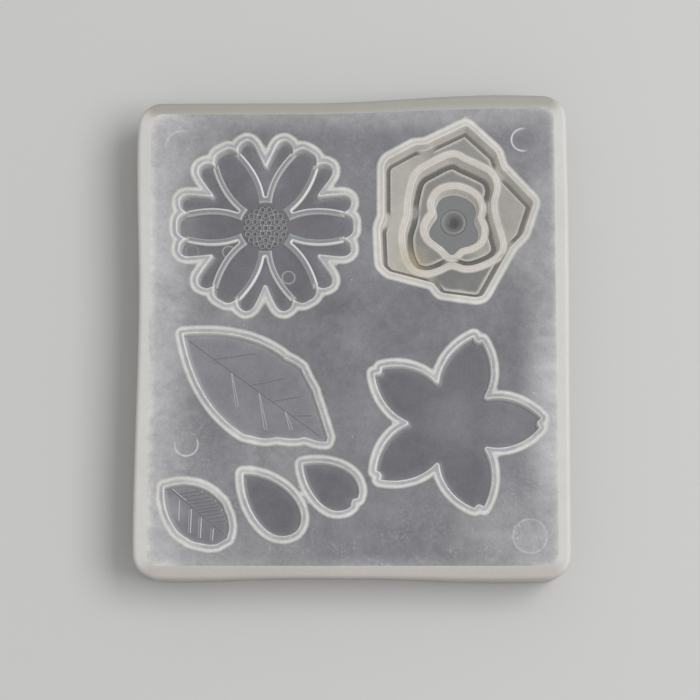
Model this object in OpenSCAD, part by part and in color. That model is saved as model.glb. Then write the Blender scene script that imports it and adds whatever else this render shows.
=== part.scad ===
// Silicone mould with seven flower and leaf cavities.
// A thin sheet hangs between a tall outer rim, and every cavity is a walled cup set into that sheet.
// The stepped rose cup is as deep as the rim is high, so the mould stands on the rim and on the rose.
// Millimetres. Origin under the middle of the mould, on the surface it stands on. +Z up, +Y to the rose end.

/* [Silicone] */
// Wall thickness of every cup, seen from above as the lip round its cavity
wall_t = 1.7; // [1.2:0.1:2.4]
// Thickness of every cavity floor
floor_t = 1.8; // [1.4:0.1:2.6]
// Thickness of the sheet between the cups
sheet_t = 1.8; // [1.2:0.1:2.8]

/* [Rim] */
// Thickness of the outer rim wall at its top
rim_t = 3.1; // [2.4:0.1:4.5]
// How far the rim's outer face leans in on its way down
rim_lean = 1.4; // [0:0.1:1.6]
// Radius of the rim's outer corners, seen from above
corner_r = 6; // [5:0.5:10]
// Rounding of the rim's upper outer edge
rim_round = 1.1; // [0.4:0.1:1.6]
// Rounding of the rim's lower outer edge
foot_round = 0.5; // [0.2:0.1:0.7]

/* [Cavity depths] */
// Depth of the daisy cavity
daisy_depth = 3.2; // [2.8:0.1:6]
// Depth of the blossom, leaf and petal cavities
shallow_depth = 3; // [2.4:0.1:5]
// Depth of each of the three steps of the rose cavity
tier_depth = 4.4; // [3:0.1:6]

/* [Daisy] */
// Tip to tip across the daisy cavity
daisy_d = 44.4; // [38:0.5:52]
// Diameter of the dimpled seed disc
seed_d = 11.2; // [9:0.2:12]
// Distance between neighbouring dimples
dimple_pitch = 1.6; // [1.4:0.1:2.4]
// Radius of each dimple
dimple_r = 0.72; // [0.4:0.02:0.9]
// Width of the ridges between the petals
ridge_w = 1.6; // [0.8:0.1:1.8]
// Clear ring between the seed disc and the ridges
ridge_gap = 0.7; // [0.3:0.1:1.5]
// Length of the solid foot at the seed disc, where two ridges join in a V
ridge_foot = 1.6; // [0.8:0.1:2.4]
// Height of those ridges above the cavity floor
ridge_h = 2; // [0.6:0.1:2.4]

/* [Rose] */
// Width of the rose cavity at its mouth
rose_w = 38.6; // [34:0.2:44]
// Width of the groove that raises each petal's edge in the casting
groove_w = 1.4; // [0.8:0.1:1.8]
// Depth of that groove
groove_depth = 0.7; // [0.3:0.1:1]
// Width of the bars that part one petal's groove from the next
bar_w = 1.5; // [0.8:0.1:2.5]
// Diameter of the ring round the bud in the rose's floor
bud_ring_d = 6.6; // [5.6:0.2:8]
// Diameter of the bud's dimple
bud_d = 4.8; // [3:0.2:5.2]

/* [Blossom] */
// Tip to tip across the five-petal blossom, as twice its petal length
blossom_d = 45.4; // [38:0.2:50]

/* [Leaves and petals] */
// Large leaf, tip to tip
leaf_l = 45; // [38:0.1:50]
// Small leaf, tip to rounded end
small_leaf_l = 20.1; // [15:0.1:24]
// Plain petal, tip to rounded end
petal_l = 19.5; // [15:0.1:22]
// Notched petal, tip to rounded end
notched_l = 16.1; // [12:0.1:18]
// Width of the leaf veins
vein_w = 0.5; // [0.3:0.05:0.9]
// Height of the veins above the cavity floor
vein_h = 0.35; // [0.2:0.05:0.8]

/* [Spacing] */
// Rim to daisy, on the left
daisy_side_gap = 5.1; // [2:0.1:12]
// Rim to daisy, at the top
daisy_top_gap = 5; // [2:0.1:12]
// Daisy to rose
flower_gap = 3.1; // [1:0.1:10]
// Rim to rose, on the right
rose_side_gap = 3.8; // [1:0.1:10]
// Rim to rose, at the top
rose_top_gap = 1.2; // [0.5:0.1:8]
// Rose to blossom
blossom_gap = 6.8; // [1:0.1:12]
// Rim to blossom, on the right
blossom_side_gap = 2.2; // [1:0.1:10]
// Rim to blossom, at the bottom
blossom_end_gap = 12.2; // [2:0.1:20]
// Rim to large leaf, on the left
leaf_side_gap = 6.9; // [2:0.1:14]
// Daisy to large leaf
leaf_gap = 2.3; // [1:0.1:10]
// Large leaf to blossom
leaf_blossom_gap = 8.2; // [2:0.1:14]
// Rim to small leaf, on the left
small_leaf_side_gap = 2.5; // [1:0.1:8]
// Large leaf down to small leaf
small_leaf_drop = 7.3; // [1:0.1:12]
// Large leaf down to plain petal
petal_drop = 4.7; // [1:0.1:8]
// Large leaf down to notched petal
notched_drop = 1.9; // [1:0.1:4]
// How far the plain petal reaches in beside the small leaf
petal_nest = 0; // [0:0.1:1]
// How far the notched petal reaches in beside the plain petal
notched_nest = 3.1; // [1:0.1:3.2]
// Notched petal to blossom
notched_blossom_gap = 0.2; // [0.2:0.1:4]
// Lowest small cup to the rim
end_gap = 3.5; // [1:0.1:10]

/* [Tool marks] */
// Diameter of the two large round tool marks
large_mark_d = 9; // [6:0.5:11]
// Diameter of the two small round tool marks
small_mark_d = 6.4; // [4:0.2:8]
// Height of the tool marks above the sheet
mark_h = 0.2; // [0.1:0.05:0.4]
// Large mark by the daisy, in from the left and top of the rim
daisy_mark_in = [7.9, 8.4]; // [5:0.1:9]
// Large mark below the blossom, in from the right and bottom of the rim
blossom_mark_in = [7.1, 7.4]; // [5.6:0.1:8]
// Small mark by the rose, in from the right and top of the rim
rose_mark_in = [7.9, 6.5]; // [5:0.1:8]
// Small mark by the large leaf, in from the left of the rim and up from the leaf's lowest point
leaf_mark_in = [9.6, 1]; // [0:0.1:10]

/* [Hidden] */
// Steps along a long curve of an outline, a short one and an eased corner
long_steps = 14;
short_steps = 6;
corner_steps = 4;
// Sides of full circles: large, medium, small, and the round corners of cup walls
large_fn = 96;
mark_fn = 64;
dimple_fn = 24;
wall_fn = 24;
// Degrees from one point to the next in the sheet's corners
corner_step = 6;
tiers = 3;
overcut = 1;
// How far the dimples' centres lie above the seed disc's face
dimple_raise = 0.1;

function turn(p, angle) = [p[0] * cos(angle) - p[1] * sin(angle), p[0] * sin(angle) + p[1] * cos(angle)];
function flip(p) = [p[0], -p[1]];
function reversed(points) = [for (i = [len(points) - 1 : -1 : 0]) points[i]];

// Quadratic and cubic curves, each without its last point, so that curves join end to end
function arc2(a, b, c, steps) = [for (i = [0 : steps - 1]) let (t = i / steps)
    (1 - t) * (1 - t) * a + 2 * t * (1 - t) * b + t * t * c];
function arc3(a, b, c, d, steps) = [for (i = [0 : steps - 1]) let (t = i / steps, s = 1 - t)
    s * s * s * a + 3 * s * s * t * b + 3 * s * t * t * c + t * t * t * d];

// A polygon with every corner eased over the length r of its two sides
function toward(a, b, r) = a + r * (b - a) / norm(b - a);
function eased(p, r) = [for (i = [0 : len(p) - 1])
    let (a = toward(p[i], loop_point(p, i - 1), r), b = toward(p[i], loop_point(p, i + 1), r))
    each concat(arc2(a, p[i], b, corner_steps), [b])];

// A smooth closed curve through hand-placed points
function loop_point(p, i) = p[(i + len(p)) % len(p)];
function smooth_loop(p, steps) = [for (i = [0 : len(p) - 1]) for (k = [0 : steps - 1])
    let (t = k / steps, a = loop_point(p, i - 1), b = p[i])
    let (c = loop_point(p, i + 1), d = loop_point(p, i + 2))
    0.5 * (2 * b + t * (c - a) + t * t * (2 * a - 5 * b + 4 * c - d) + t * t * t * (3 * b - 3 * c + d - a))];

function low(p) = [min([for (q = p) q[0]]), min([for (q = p) q[1]])];
function high(p) = [max([for (q = p) q[0]]), max([for (q = p) q[1]])];
function span(p) = high(p) - low(p);
function middle(p) = (high(p) + low(p)) / 2;
// Outline p moved so that its box is centred on the origin, then scaled by k
function centred(p, k) = [for (q = p) (q - middle(p)) * k];
// Greatest distance from the first point of outline p, which is its tip
function reach(p) = max([for (q = p) norm(q - p[0])]);

// Daisy: half of one sixth of the outline runs from a large petal's tip to the notch between two small ones
daisy_half_petal = concat([[22.5, 0]], arc2([22.5, 0.9], [22.4, 2.9], [19.5, 3.4], short_steps));
daisy_k = daisy_d / 2 / norm(daisy_half_petal[0]);
daisy_half_pair = concat(
    arc2(turn([19.5, 3.4], -30), [21.3, -7.7], [22.3, -5.1], short_steps),
    arc2([22.3, -5.1], [22.5, -3.5], [20.4, -2.5], short_steps),
    arc2([20.4, -2.5], [17.7, -1.2], [15.5, -0.3], short_steps),
    [[15.5, -0.3]]);
daisy_half = concat(daisy_half_petal, [for (p = daisy_half_pair) turn(p, 30)]);
daisy_sixth = concat(daisy_half, [for (i = [len(daisy_half) - 1 : -1 : 1]) turn(flip(daisy_half[i]), 60)]);
daisy_outline = [for (i = [0 : 5]) for (p = daisy_sixth) turn(p, 60 * i) * daisy_k];
// One large petal's own floor, from inside the seed disc to past its tip
daisy_petal_half = concat([[4.2, 0.6]], arc2([6, 1.6], [12.6, 4.9], [21.8, 1.9], long_steps), [[23.5, 1.6]]);
daisy_petal_drawn = concat(daisy_petal_half, [for (p = reversed(daisy_petal_half)) flip(p)]);
daisy_petal = [for (p = daisy_petal_drawn) p * daisy_k];
// The ridges start a little outside the seed disc and end where the petals part
ridge_start_r = seed_d / 2 + ridge_gap;
ridge_foot_r = ridge_start_r + ridge_foot;
ridge_end_r = 20.4 * daisy_k;

// Blossom: five petals, each with a small notch in its tip
blossom_left = concat(
    arc3([7.6, 5.52], [12.2, 7.3], [18.2, 5.9], [22.7, 1.1], long_steps),
    [[22.7, 1.1], [21.9, 0.8]]);
blossom_right = concat(
    arc3([7.6, -5.52], [12.2, -7.3], [18.2, -5.9], [22.2, -1.1], long_steps),
    [[22.2, -1.1], [21.7, -0.8]]);
blossom_petal = concat(blossom_right, [[21.5, 0]], reversed(blossom_left));
blossom_drawn = [for (i = [0 : 4]) for (p = blossom_petal) turn(p, 72 * i)];
blossom_k = blossom_d / 2 / max([for (p = blossom_drawn) norm(p)]);
blossom_outline = centred(blossom_drawn, blossom_k);

// Leaves and petals, drawn where they lie on the mould and then sized by their length
leaf_drawn = concat(
    arc2([-42.3, 0.7], [-26.5, 2.2], [-17.4, -4.9], long_steps),
    [[-17.4, -4.9]],
    arc2([-17, -5.5], [-14.6, -6.3], [-12.7, -8], short_steps),
    [[-12.7, -8]],
    arc2([-12.5, -8.7], [-10.8, -12], [-9.8, -13.8], short_steps),
    [[-9.8, -13.8]],
    arc2([-9.7, -14.5], [-8.3, -18.5], [-6.2, -25.4], short_steps),
    [[-6.2, -25.4]],
    arc2([-6.5, -26.5], [-9, -26.6], [-11.4, -25.3], short_steps),
    arc2([-12.1, -25.3], [-14.5, -26.1], [-18.2, -25.3], short_steps),
    arc2([-18.9, -25.3], [-22.5, -26.3], [-26.2, -24.5], short_steps),
    arc2([-27, -24.6], [-39.1, -17.1], [-42.3, 0.7], long_steps));
leaf_k = leaf_l / reach(leaf_drawn);
leaf_outline = centred(leaf_drawn, leaf_k);
leaf_veins_drawn = [
    [[-41, -0.4], [-8.4, -24.4]],
    [[-34.7, -5], [-24.3, -3.6]], [[-26, -11.8], [-16.7, -9.8]], [[-20.3, -15.8], [-13, -14.5]],
    [[-15.3, -19.4], [-10.3, -19.4]],
    [[-30.3, -8.6], [-28.9, -16.9]], [[-23.4, -13.6], [-21.7, -22.8]], [[-16.8, -18.4], [-15.4, -22.8]]];

small_leaf_drawn = concat(
    arc3([-46.6, -37.9], [-42.5, -36.4], [-37, -36.6], [-33.2, -40.8], long_steps),
    [[-33.2, -40.8]],
    arc2([-32.8, -41.2], [-31.9, -42], [-31.5, -43.6], short_steps),
    [[-31.5, -43.6]],
    arc2([-31.3, -44.1], [-30.7, -45], [-30.6, -46.6], short_steps),
    arc2([-30.5, -47.1], [-30.3, -48.4], [-30.9, -50], short_steps),
    arc2([-31, -50.5], [-32.4, -51.4], [-33.8, -52.2], short_steps),
    arc2([-34.3, -52.1], [-36, -52.3], [-37.6, -51.6], short_steps),
    arc2([-38, -51.6], [-40, -51.4], [-41.4, -50], short_steps),
    arc2([-41.8, -49.9], [-43.8, -48.6], [-44.6, -46.6], short_steps),
    arc2([-44.8, -46.4], [-46.9, -42.5], [-46.6, -37.9], short_steps));
small_leaf_k = small_leaf_l / reach(small_leaf_drawn);
small_leaf_outline = centred(small_leaf_drawn, small_leaf_k);
small_leaf_veins_drawn = [
    [[-45.9, -38.6], [-32, -49.4]],
    [[-43, -40.9], [-43, -46.3]], [[-40.3, -43], [-40.3, -49.2]], [[-37.7, -45], [-37.7, -50.4]],
    [[-35, -47.1], [-35, -51]],
    [[-43.4, -40.5], [-37.4, -38.8]], [[-41.2, -42.2], [-34.6, -40.5]], [[-39, -43.9], [-32.6, -42.5]],
    [[-36.8, -45.6], [-31.6, -44.7]], [[-34.6, -47.4], [-31.2, -46.9]]];

petal_drawn = concat(
    arc3([-27.1, -34.6], [-20.5, -34.2], [-12.6, -39.8], [-12.6, -45.8], long_steps),
    arc3([-12.6, -45.8], [-12.6, -48.6], [-14.6, -50.2], [-17.3, -50.2], short_steps),
    arc3([-17.3, -50.2], [-22.5, -50.2], [-27.4, -42], [-27.1, -34.6], long_steps));
petal_k = petal_l / reach(petal_drawn);
petal_outline = centred(petal_drawn, petal_k);

notched_drawn = concat(
    arc3([-12.4, -32.2], [-7, -30.9], [1.7, -32.8], [1.7, -39.2], long_steps),
    [[1.7, -39.2], [1.3, -40.7], [0.1, -40.9], [-0.3, -41.6]],
    arc2([-0.4, -42.7], [-1.6, -43.9], [-3.8, -43.9], short_steps),
    arc3([-3.8, -43.9], [-7.6, -43.9], [-12.1, -38], [-12.4, -32.2], long_steps));
notched_k = notched_l / reach(notched_drawn);
notched_outline = centred(notched_drawn, notched_k);

// Rose: three nested mouths, one for each step. The outer one has five petals that meet in five valleys
rose_valleys = [[37.3, 43.4], [39.5, 23.2], [20.1, 13.8], [7.9, 30.9], [18.4, 49.5]];
rose_outer_drawn = [
    [28.6, 54.5], [36, 47.5], rose_valleys[0], [45.4, 34.6], [42.7, 26.4], rose_valleys[1],
    [35.7, 16.3], [32.5, 10.6], [30.9, 10.1], [22, 11.3], rose_valleys[2], [8.9, 16.8],
    [7.2, 18.6], [6.8, 28], rose_valleys[3], [7.9, 44.2], [8.8, 45.6], [15.5, 49.3], rose_valleys[4]];
rose_middle_drawn = smooth_loop([
    [25, 47.3], [28.2, 46], [31.6, 44.4], [34.5, 42.6], [35.6, 39.6], [34.8, 35.6], [35.1, 32], [36.2, 28],
    [37, 24.2], [35.6, 21.8], [32, 19.9], [28.5, 19.2], [24.6, 20.1], [21, 18.6], [18.2, 18], [15.4, 19],
    [13.7, 22.4], [13.2, 27.4], [14.4, 32], [14.8, 36.6], [16.4, 42.4], [20, 45]], 5);
rose_middle_valleys = [[34.8, 35.4], [24.6, 20], [14.6, 34]];
rose_inner_drawn = smooth_loop([
    [25.3, 40], [28.4, 39.4], [31, 37.6], [32, 34.9], [31.5, 32.4], [32.5, 29.8], [31.9, 26.8], [29.6, 25.3],
    [27.2, 24.6], [25, 22.9], [22.6, 25], [19.8, 27.2], [18.8, 29.6], [19.6, 31.8], [20.9, 33.8],
    [20.7, 36.4], [22.2, 39]], 6);
rose_bud_drawn = [25.5, 32.3];
rose_k = rose_w / span(rose_outer_drawn)[0];
rose_corner = 0.7;
function rose_sized(p) = [for (q = p) (q - middle(rose_outer_drawn)) * rose_k];
rose_outer_outline = eased(rose_sized(rose_outer_drawn), rose_corner);
rose_middle_outline = rose_sized(rose_middle_drawn);
rose_inner_outline = rose_sized(rose_inner_drawn);

// Boxes that the cups take up, walls included
lips = [2 * wall_t, 2 * wall_t];
daisy_box = span(daisy_outline) + lips;
rose_box = span(rose_outer_outline) + lips;
blossom_box = span(blossom_outline) + lips;
leaf_box = span(leaf_outline) + lips;
small_leaf_box = span(small_leaf_outline) + lips;
petal_box = span(petal_outline) + lips;
notched_box = span(notched_outline) + lips;

// The mould is as wide as its widest row and as long as its longest column, up to the next half millimetre
function next_half(x) = ceil(2 * x) / 2;
flower_row = daisy_side_gap + daisy_box[0] + flower_gap + rose_box[0] + rose_side_gap;
leaf_row = leaf_side_gap + leaf_box[0] + leaf_blossom_gap + blossom_box[0] + blossom_side_gap;
petal_row = small_leaf_side_gap + small_leaf_box[0] - petal_nest + petal_box[0] - notched_nest
    + notched_box[0] + notched_blossom_gap + blossom_box[0] + blossom_side_gap;
low_row = max(small_leaf_drop + small_leaf_box[1], petal_drop + petal_box[1], notched_drop + notched_box[1]);
leaf_column = daisy_top_gap + daisy_box[1] + leaf_gap + leaf_box[1] + low_row + end_gap;
rose_column = rose_top_gap + rose_box[1] + blossom_gap + blossom_box[1] + blossom_end_gap;
inside = [next_half(max(flower_row, leaf_row, petal_row)), next_half(max(leaf_column, rose_column))];
outside = inside + 2 * [rim_t, rim_t];
mould_h = tiers * tier_depth + floor_t;
sheet_z = mould_h - sheet_t;

// Places of the cups, from the rim inwards
left = -inside[0] / 2;
right = inside[0] / 2;
top = inside[1] / 2;
daisy_at = [left + daisy_side_gap + daisy_box[0] / 2, top - daisy_top_gap - daisy_box[1] / 2];
rose_at = [right - rose_side_gap - rose_box[0] / 2, top - rose_top_gap - rose_box[1] / 2];
blossom_at = [right - blossom_side_gap - blossom_box[0] / 2,
              rose_at[1] - rose_box[1] / 2 - blossom_gap - blossom_box[1] / 2];
leaf_at = [left + leaf_side_gap + leaf_box[0] / 2,
           daisy_at[1] - daisy_box[1] / 2 - leaf_gap - leaf_box[1] / 2];
leaf_bottom = leaf_at[1] - leaf_box[1] / 2;
small_leaf_at = [left + small_leaf_side_gap + small_leaf_box[0] / 2,
                 leaf_bottom - small_leaf_drop - small_leaf_box[1] / 2];
petal_at = [small_leaf_at[0] + small_leaf_box[0] / 2 - petal_nest + petal_box[0] / 2,
            leaf_bottom - petal_drop - petal_box[1] / 2];
notched_at = [petal_at[0] + petal_box[0] / 2 - notched_nest + notched_box[0] / 2,
              leaf_bottom - notched_drop - notched_box[1] / 2];
bud_at = (rose_bud_drawn - middle(rose_outer_drawn)) * rose_k;

silicone = [0.80, 0.80, 0.80];
lip_silicone = [0.86, 0.85, 0.82];
rose_silicone = [0.84, 0.82, 0.77];

// A cavity's plan grown by its wall's thickness
module cup_plan(points) {
    offset(r = wall_t, $fn = wall_fn) polygon(points);
}

// A cup hung from the top of the mould: a wall with a floor
module cup(points, depth) {
    translate([0, 0, mould_h - depth - floor_t])
        difference() {
            linear_extrude(depth + floor_t) cup_plan(points);
            translate([0, 0, floor_t]) linear_extrude(depth + overcut) polygon(points);
        }
}

// A straight vein from a to b, standing on its floor
module vein(a, b) {
    run = b - a;
    translate([a[0], a[1], 0])
        rotate(atan2(run[1], run[0]))
            translate([0, -vein_w / 2, 0])
                cube([norm(run), vein_w, vein_h]);
}

module veins(lines, drawn, k, outline, depth, at) {
    color(lip_silicone)
        translate([at[0], at[1], mould_h - depth])
            intersection() {
                union()
                    for (l = lines)
                        vein((l[0] - middle(drawn)) * k, (l[1] - middle(drawn)) * k);
                linear_extrude(vein_h) polygon(outline);
            }
}

// What a rounding of radius r takes off a right-angled corner at the origin, whose sides run to -X and -Y
module corner_cut(r) {
    difference() {
        translate([-r, -r]) square(r + overcut);
        translate([-r, -r]) circle(r, $fn = mark_fn);
    }
}

// Section of the rim wall: its outer face leans in from 0 at the top, and its outer edges are rounded
module rim_profile() {
    difference() {
        polygon([[-rim_t, 0], [-rim_lean, 0], [0, mould_h], [-rim_t, mould_h]]);
        translate([0, mould_h]) corner_cut(rim_round);
        translate([-rim_lean, 0]) mirror([0, 1]) corner_cut(foot_round);
    }
}

module rim_skirt() {
    straight = outside - 2 * [corner_r, corner_r];
    color(silicone) union() {
        for (side = [-1, 1]) {
            translate([side * outside[0] / 2, 0, 0]) rotate(side == 1 ? 0 : 180)
                rotate([90, 0, 0]) linear_extrude(straight[1], center = true) rim_profile();
            translate([0, side * outside[1] / 2, 0]) rotate(side * 90)
                rotate([90, 0, 0]) linear_extrude(straight[0], center = true) rim_profile();
        }
        for (x = [-1, 1], y = [-1, 1])
            translate([x * straight[0] / 2, y * straight[1] / 2, 0])
                rotate(x == 1 ? (y == 1 ? 0 : -90) : (y == 1 ? 90 : 180))
                    rotate_extrude(angle = 90, $fn = large_fn) translate([corner_r, 0]) rim_profile();
    }
}

// The plan of the sheet: inside the rim, with its rounded corners
module sheet_plan() {
    r = corner_r - rim_t;
    core = inside / 2 - [r, r];
    polygon([for (corner = [[1, 1, 0], [-1, 1, 90], [-1, -1, 180], [1, -1, 270]])
        for (a = [0 : corner_step : 90])
            [corner[0] * core[0], corner[1] * core[1]] + r * [cos(corner[2] + a), sin(corner[2] + a)]]);
}

module top_sheet() {
    color(silicone)
        translate([0, 0, sheet_z])
            linear_extrude(sheet_t)
                difference() {
                    sheet_plan();
                    translate(daisy_at) cup_plan(daisy_outline);
                    translate(rose_at) cup_plan(rose_outer_outline);
                    translate(blossom_at) cup_plan(blossom_outline);
                    translate(leaf_at) cup_plan(leaf_outline);
                    translate(small_leaf_at) cup_plan(small_leaf_outline);
                    translate(petal_at) cup_plan(petal_outline);
                    translate(notched_at) cup_plan(notched_outline);
                }
}

module tool_mark(at, d) {
    translate([at[0], at[1], mould_h]) cylinder(h = mark_h, d = d, $fn = mark_fn);
}

module tool_marks() {
    color(silicone) {
        tool_mark([left + daisy_mark_in[0], top - daisy_mark_in[1]], large_mark_d);
        tool_mark([right - blossom_mark_in[0], -top + blossom_mark_in[1]], large_mark_d);
        tool_mark([right - rose_mark_in[0], top - rose_mark_in[1]], small_mark_d);
        tool_mark([left + leaf_mark_in[0], leaf_bottom + leaf_mark_in[1]], small_mark_d);
    }
}

module daisy_cup() {
    color(lip_silicone)
        difference() {
            translate(daisy_at) cup(daisy_outline, daisy_depth);
            translate([daisy_at[0], daisy_at[1], mould_h - daisy_depth - floor_t - overcut])
                cylinder(h = floor_t + 2 * overcut, d = seed_d, $fn = large_fn);
        }
}

// Six V-shaped ridges, each between two large petals
module daisy_ridges() {
    color(lip_silicone)
        translate([daisy_at[0], daisy_at[1], mould_h - daisy_depth])
            linear_extrude(ridge_h)
                difference() {
                    intersection() {
                        polygon(daisy_outline);
                        circle(ridge_end_r, $fn = large_fn);
                        union() {
                            circle(ridge_foot_r, $fn = large_fn);
                            for (i = [0 : 5]) rotate(60 * i) offset(delta = ridge_w) polygon(daisy_petal);
                        }
                    }
                    for (i = [0 : 5]) rotate(60 * i) polygon(daisy_petal);
                    circle(ridge_start_r, $fn = large_fn);
                }
}

// The middle of the daisy's floor, with dimples in circles of six, twelve, eighteen round one
module daisy_seed_disc() {
    circles = floor((seed_d / 2 - dimple_r) / dimple_pitch);
    color(lip_silicone)
        translate([daisy_at[0], daisy_at[1], mould_h - daisy_depth - floor_t])
            difference() {
                cylinder(h = floor_t, d = seed_d, $fn = large_fn);
                for (c = [0 : circles], i = [1 : max(6 * c, 1)])
                    rotate(60 * i / max(c, 1))
                        translate([c * dimple_pitch, 0, floor_t + dimple_raise])
                            sphere(dimple_r, $fn = dimple_fn);
            }
}

// One step of the rose: a wall over a ledge, a hole for the next step, and a groove along the wall.
// It is h high
module rose_step(points, hole, valleys, h) {
    difference() {
        linear_extrude(h) cup_plan(points);
        translate([0, 0, floor_t]) linear_extrude(h) polygon(points);
        translate([0, 0, floor_t - groove_depth])
            linear_extrude(groove_depth + overcut)
                difference() {
                    polygon(points);
                    offset(delta = -groove_w) polygon(points);
                    for (v = valleys) translate(v) circle(groove_w + bar_w / 2, $fn = wall_fn);
                }
        translate([0, 0, -overcut]) linear_extrude(floor_t + 2 * overcut) polygon(hole);
    }
}

module rose_outer_cup() {
    color(rose_silicone)
        translate([rose_at[0], rose_at[1], mould_h - tier_depth - floor_t])
            rose_step(rose_outer_outline, rose_middle_outline, rose_sized(rose_valleys),
                      tier_depth + floor_t);
}

// The middle step hangs under the outer one's ledge, so its wall starts below that ledge
module rose_middle_cup() {
    color(rose_silicone)
        translate([rose_at[0], rose_at[1], mould_h - 2 * tier_depth - floor_t])
            rose_step(rose_middle_outline, rose_inner_outline, rose_sized(rose_middle_valleys),
                      tier_depth);
}

module rose_inner_cup() {
    color(rose_silicone)
        translate([rose_at[0], rose_at[1], 0])
            difference() {
                linear_extrude(tier_depth) cup_plan(rose_inner_outline);
                translate([0, 0, floor_t]) linear_extrude(tier_depth) polygon(rose_inner_outline);
                translate([bud_at[0], bud_at[1], -overcut])
                    cylinder(h = tier_depth + overcut, d = bud_ring_d, $fn = large_fn);
            }
}

// A turned ring in the rose's floor with the bud's round dimple in its middle
module rose_bud_ring() {
    ring_h = floor_t + groove_depth / 2;
    color(rose_silicone)
        translate([rose_at[0] + bud_at[0], rose_at[1] + bud_at[1], 0])
            rotate_extrude($fn = large_fn)
                polygon([[0, 0], [bud_ring_d / 2, 0], [bud_ring_d / 2, floor_t],
                         [(bud_ring_d + bud_d) / 4, ring_h], [bud_d / 2, floor_t],
                         [bud_d / 4, floor_t - groove_depth], [0, floor_t - groove_depth]]);
}

module blossom_cup() {
    color(lip_silicone) translate(blossom_at) cup(blossom_outline, shallow_depth);
}

module large_leaf_cup() {
    color(lip_silicone) translate(leaf_at) cup(leaf_outline, shallow_depth);
}

module large_leaf_veins() {
    veins(leaf_veins_drawn, leaf_drawn, leaf_k, leaf_outline, shallow_depth, leaf_at);
}

module small_leaf_cup() {
    color(lip_silicone) translate(small_leaf_at) cup(small_leaf_outline, shallow_depth);
}

module small_leaf_veins() {
    veins(small_leaf_veins_drawn, small_leaf_drawn, small_leaf_k, small_leaf_outline,
          shallow_depth, small_leaf_at);
}

module petal_cup() {
    color(lip_silicone) translate(petal_at) cup(petal_outline, shallow_depth);
}

// Where this cup's wall meets the plain petal's, that wall serves both
module notched_petal_cup() {
    color(lip_silicone)
        difference() {
            translate(notched_at) cup(notched_outline, shallow_depth);
            translate([petal_at[0], petal_at[1], 0])
                linear_extrude(mould_h + overcut) cup_plan(petal_outline);
        }
}

rim_skirt();
top_sheet();
tool_marks();
daisy_cup();
daisy_ridges();
daisy_seed_disc();
rose_outer_cup();
rose_middle_cup();
rose_inner_cup();
rose_bud_ring();
blossom_cup();
large_leaf_cup();
large_leaf_veins();
small_leaf_cup();
small_leaf_veins();
petal_cup();
notched_petal_cup();
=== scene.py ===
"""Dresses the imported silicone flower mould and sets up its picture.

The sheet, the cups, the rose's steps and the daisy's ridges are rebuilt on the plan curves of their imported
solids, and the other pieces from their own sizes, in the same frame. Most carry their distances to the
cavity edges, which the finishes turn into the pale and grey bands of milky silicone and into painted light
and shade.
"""
import logging
import math
from dataclasses import dataclass, field
from enum import Enum
from functools import cache
from typing import Callable

import bpy
import numpy as np
from bpy.types import ID, Material, Node, NodeTree, Object
from bpy.types import NodeSocket as Socket
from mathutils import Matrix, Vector
from mathutils.geometry import delaunay_2d_cdt


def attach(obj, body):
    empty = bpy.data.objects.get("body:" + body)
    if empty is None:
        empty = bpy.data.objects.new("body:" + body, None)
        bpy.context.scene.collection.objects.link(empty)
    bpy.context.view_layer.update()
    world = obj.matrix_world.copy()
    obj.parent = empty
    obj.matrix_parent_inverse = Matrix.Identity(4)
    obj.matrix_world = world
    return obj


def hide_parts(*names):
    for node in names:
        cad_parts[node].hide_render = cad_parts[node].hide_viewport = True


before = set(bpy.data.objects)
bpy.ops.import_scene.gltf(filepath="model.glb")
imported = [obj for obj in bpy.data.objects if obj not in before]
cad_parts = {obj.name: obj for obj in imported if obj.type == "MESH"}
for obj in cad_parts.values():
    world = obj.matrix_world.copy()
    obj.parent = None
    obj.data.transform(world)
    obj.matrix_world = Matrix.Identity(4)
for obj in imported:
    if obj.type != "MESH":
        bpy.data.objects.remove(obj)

log = logging.getLogger("flower_mould")

Colour = tuple[float, float, float, float]
Fields = dict[str, np.ndarray]
Measure = Callable[[np.ndarray], np.ndarray]
Pair = tuple[float, float]
Rows = tuple[tuple[float, ...], ...]

# Metres in a millimetre
MM = 0.001
# Levels and thicknesses of the moulding, in millimetres
TOP_Z = 15.0
SHEET_UNDER_Z = 13.2
FLOOR_T = 1.8
SHALLOW_DEPTH = 3.0
LIP_W = 1.7
# Where on the lip's bands the underside of a cup takes its tone, in millimetres from the mouth
UNDER_MM = 0.7
# Twice the area below which a triangle of the plan counts as a line, in square millimetres
SLIVER = 2e-5
# How far a packed vertex may lie off the flat face that it belongs to, in millimetres
FLAT_MM = 2e-3
# Distance below which two points of a plan are one, in millimetres
MERGE_MM = 1e-5
# Keeps a division from meeting zero
TINY = 1e-12
# How many points are measured at a time
BATCH = 3000
# A distance that lies past all bands of a finish, in millimetres
FAR_MM = 9.0
# A distance from a mouth that lies on the plain ledge below it, in millimetres
LEDGE_MM = -2.0
# Distances from a mouth at which rings of facets follow its lip, in millimetres
LIP_LEVELS = (1.1, 0.6, 0.3, 0.19, 0.09, 0.0)
# Angle past which an edge stays sharp, in degrees
SHARP_DEG = 38.0
# Roughness of the glossy floors
GLOSSY = 0.34
# Cloudiness of the pieces that hardly cloud
CALM = 0.1


def tone(red: float, green: float, blue: float) -> Colour:
    """Turns a display tone into the linear colour that a shader socket takes.

    Args:
        red: Display red, 0 to 255.
        green: Display green, 0 to 255.
        blue: Display blue, 0 to 255.

    Returns:
        The linear colour with full alpha.
    """
    shares = [v / 255.0 for v in (red, green, blue)]
    linear = [v / 12.92 if v <= 0.04045 else ((v + 0.055) / 1.055) ** 2.4 for v in shares]
    return linear[0], linear[1], linear[2], 1.0


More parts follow.
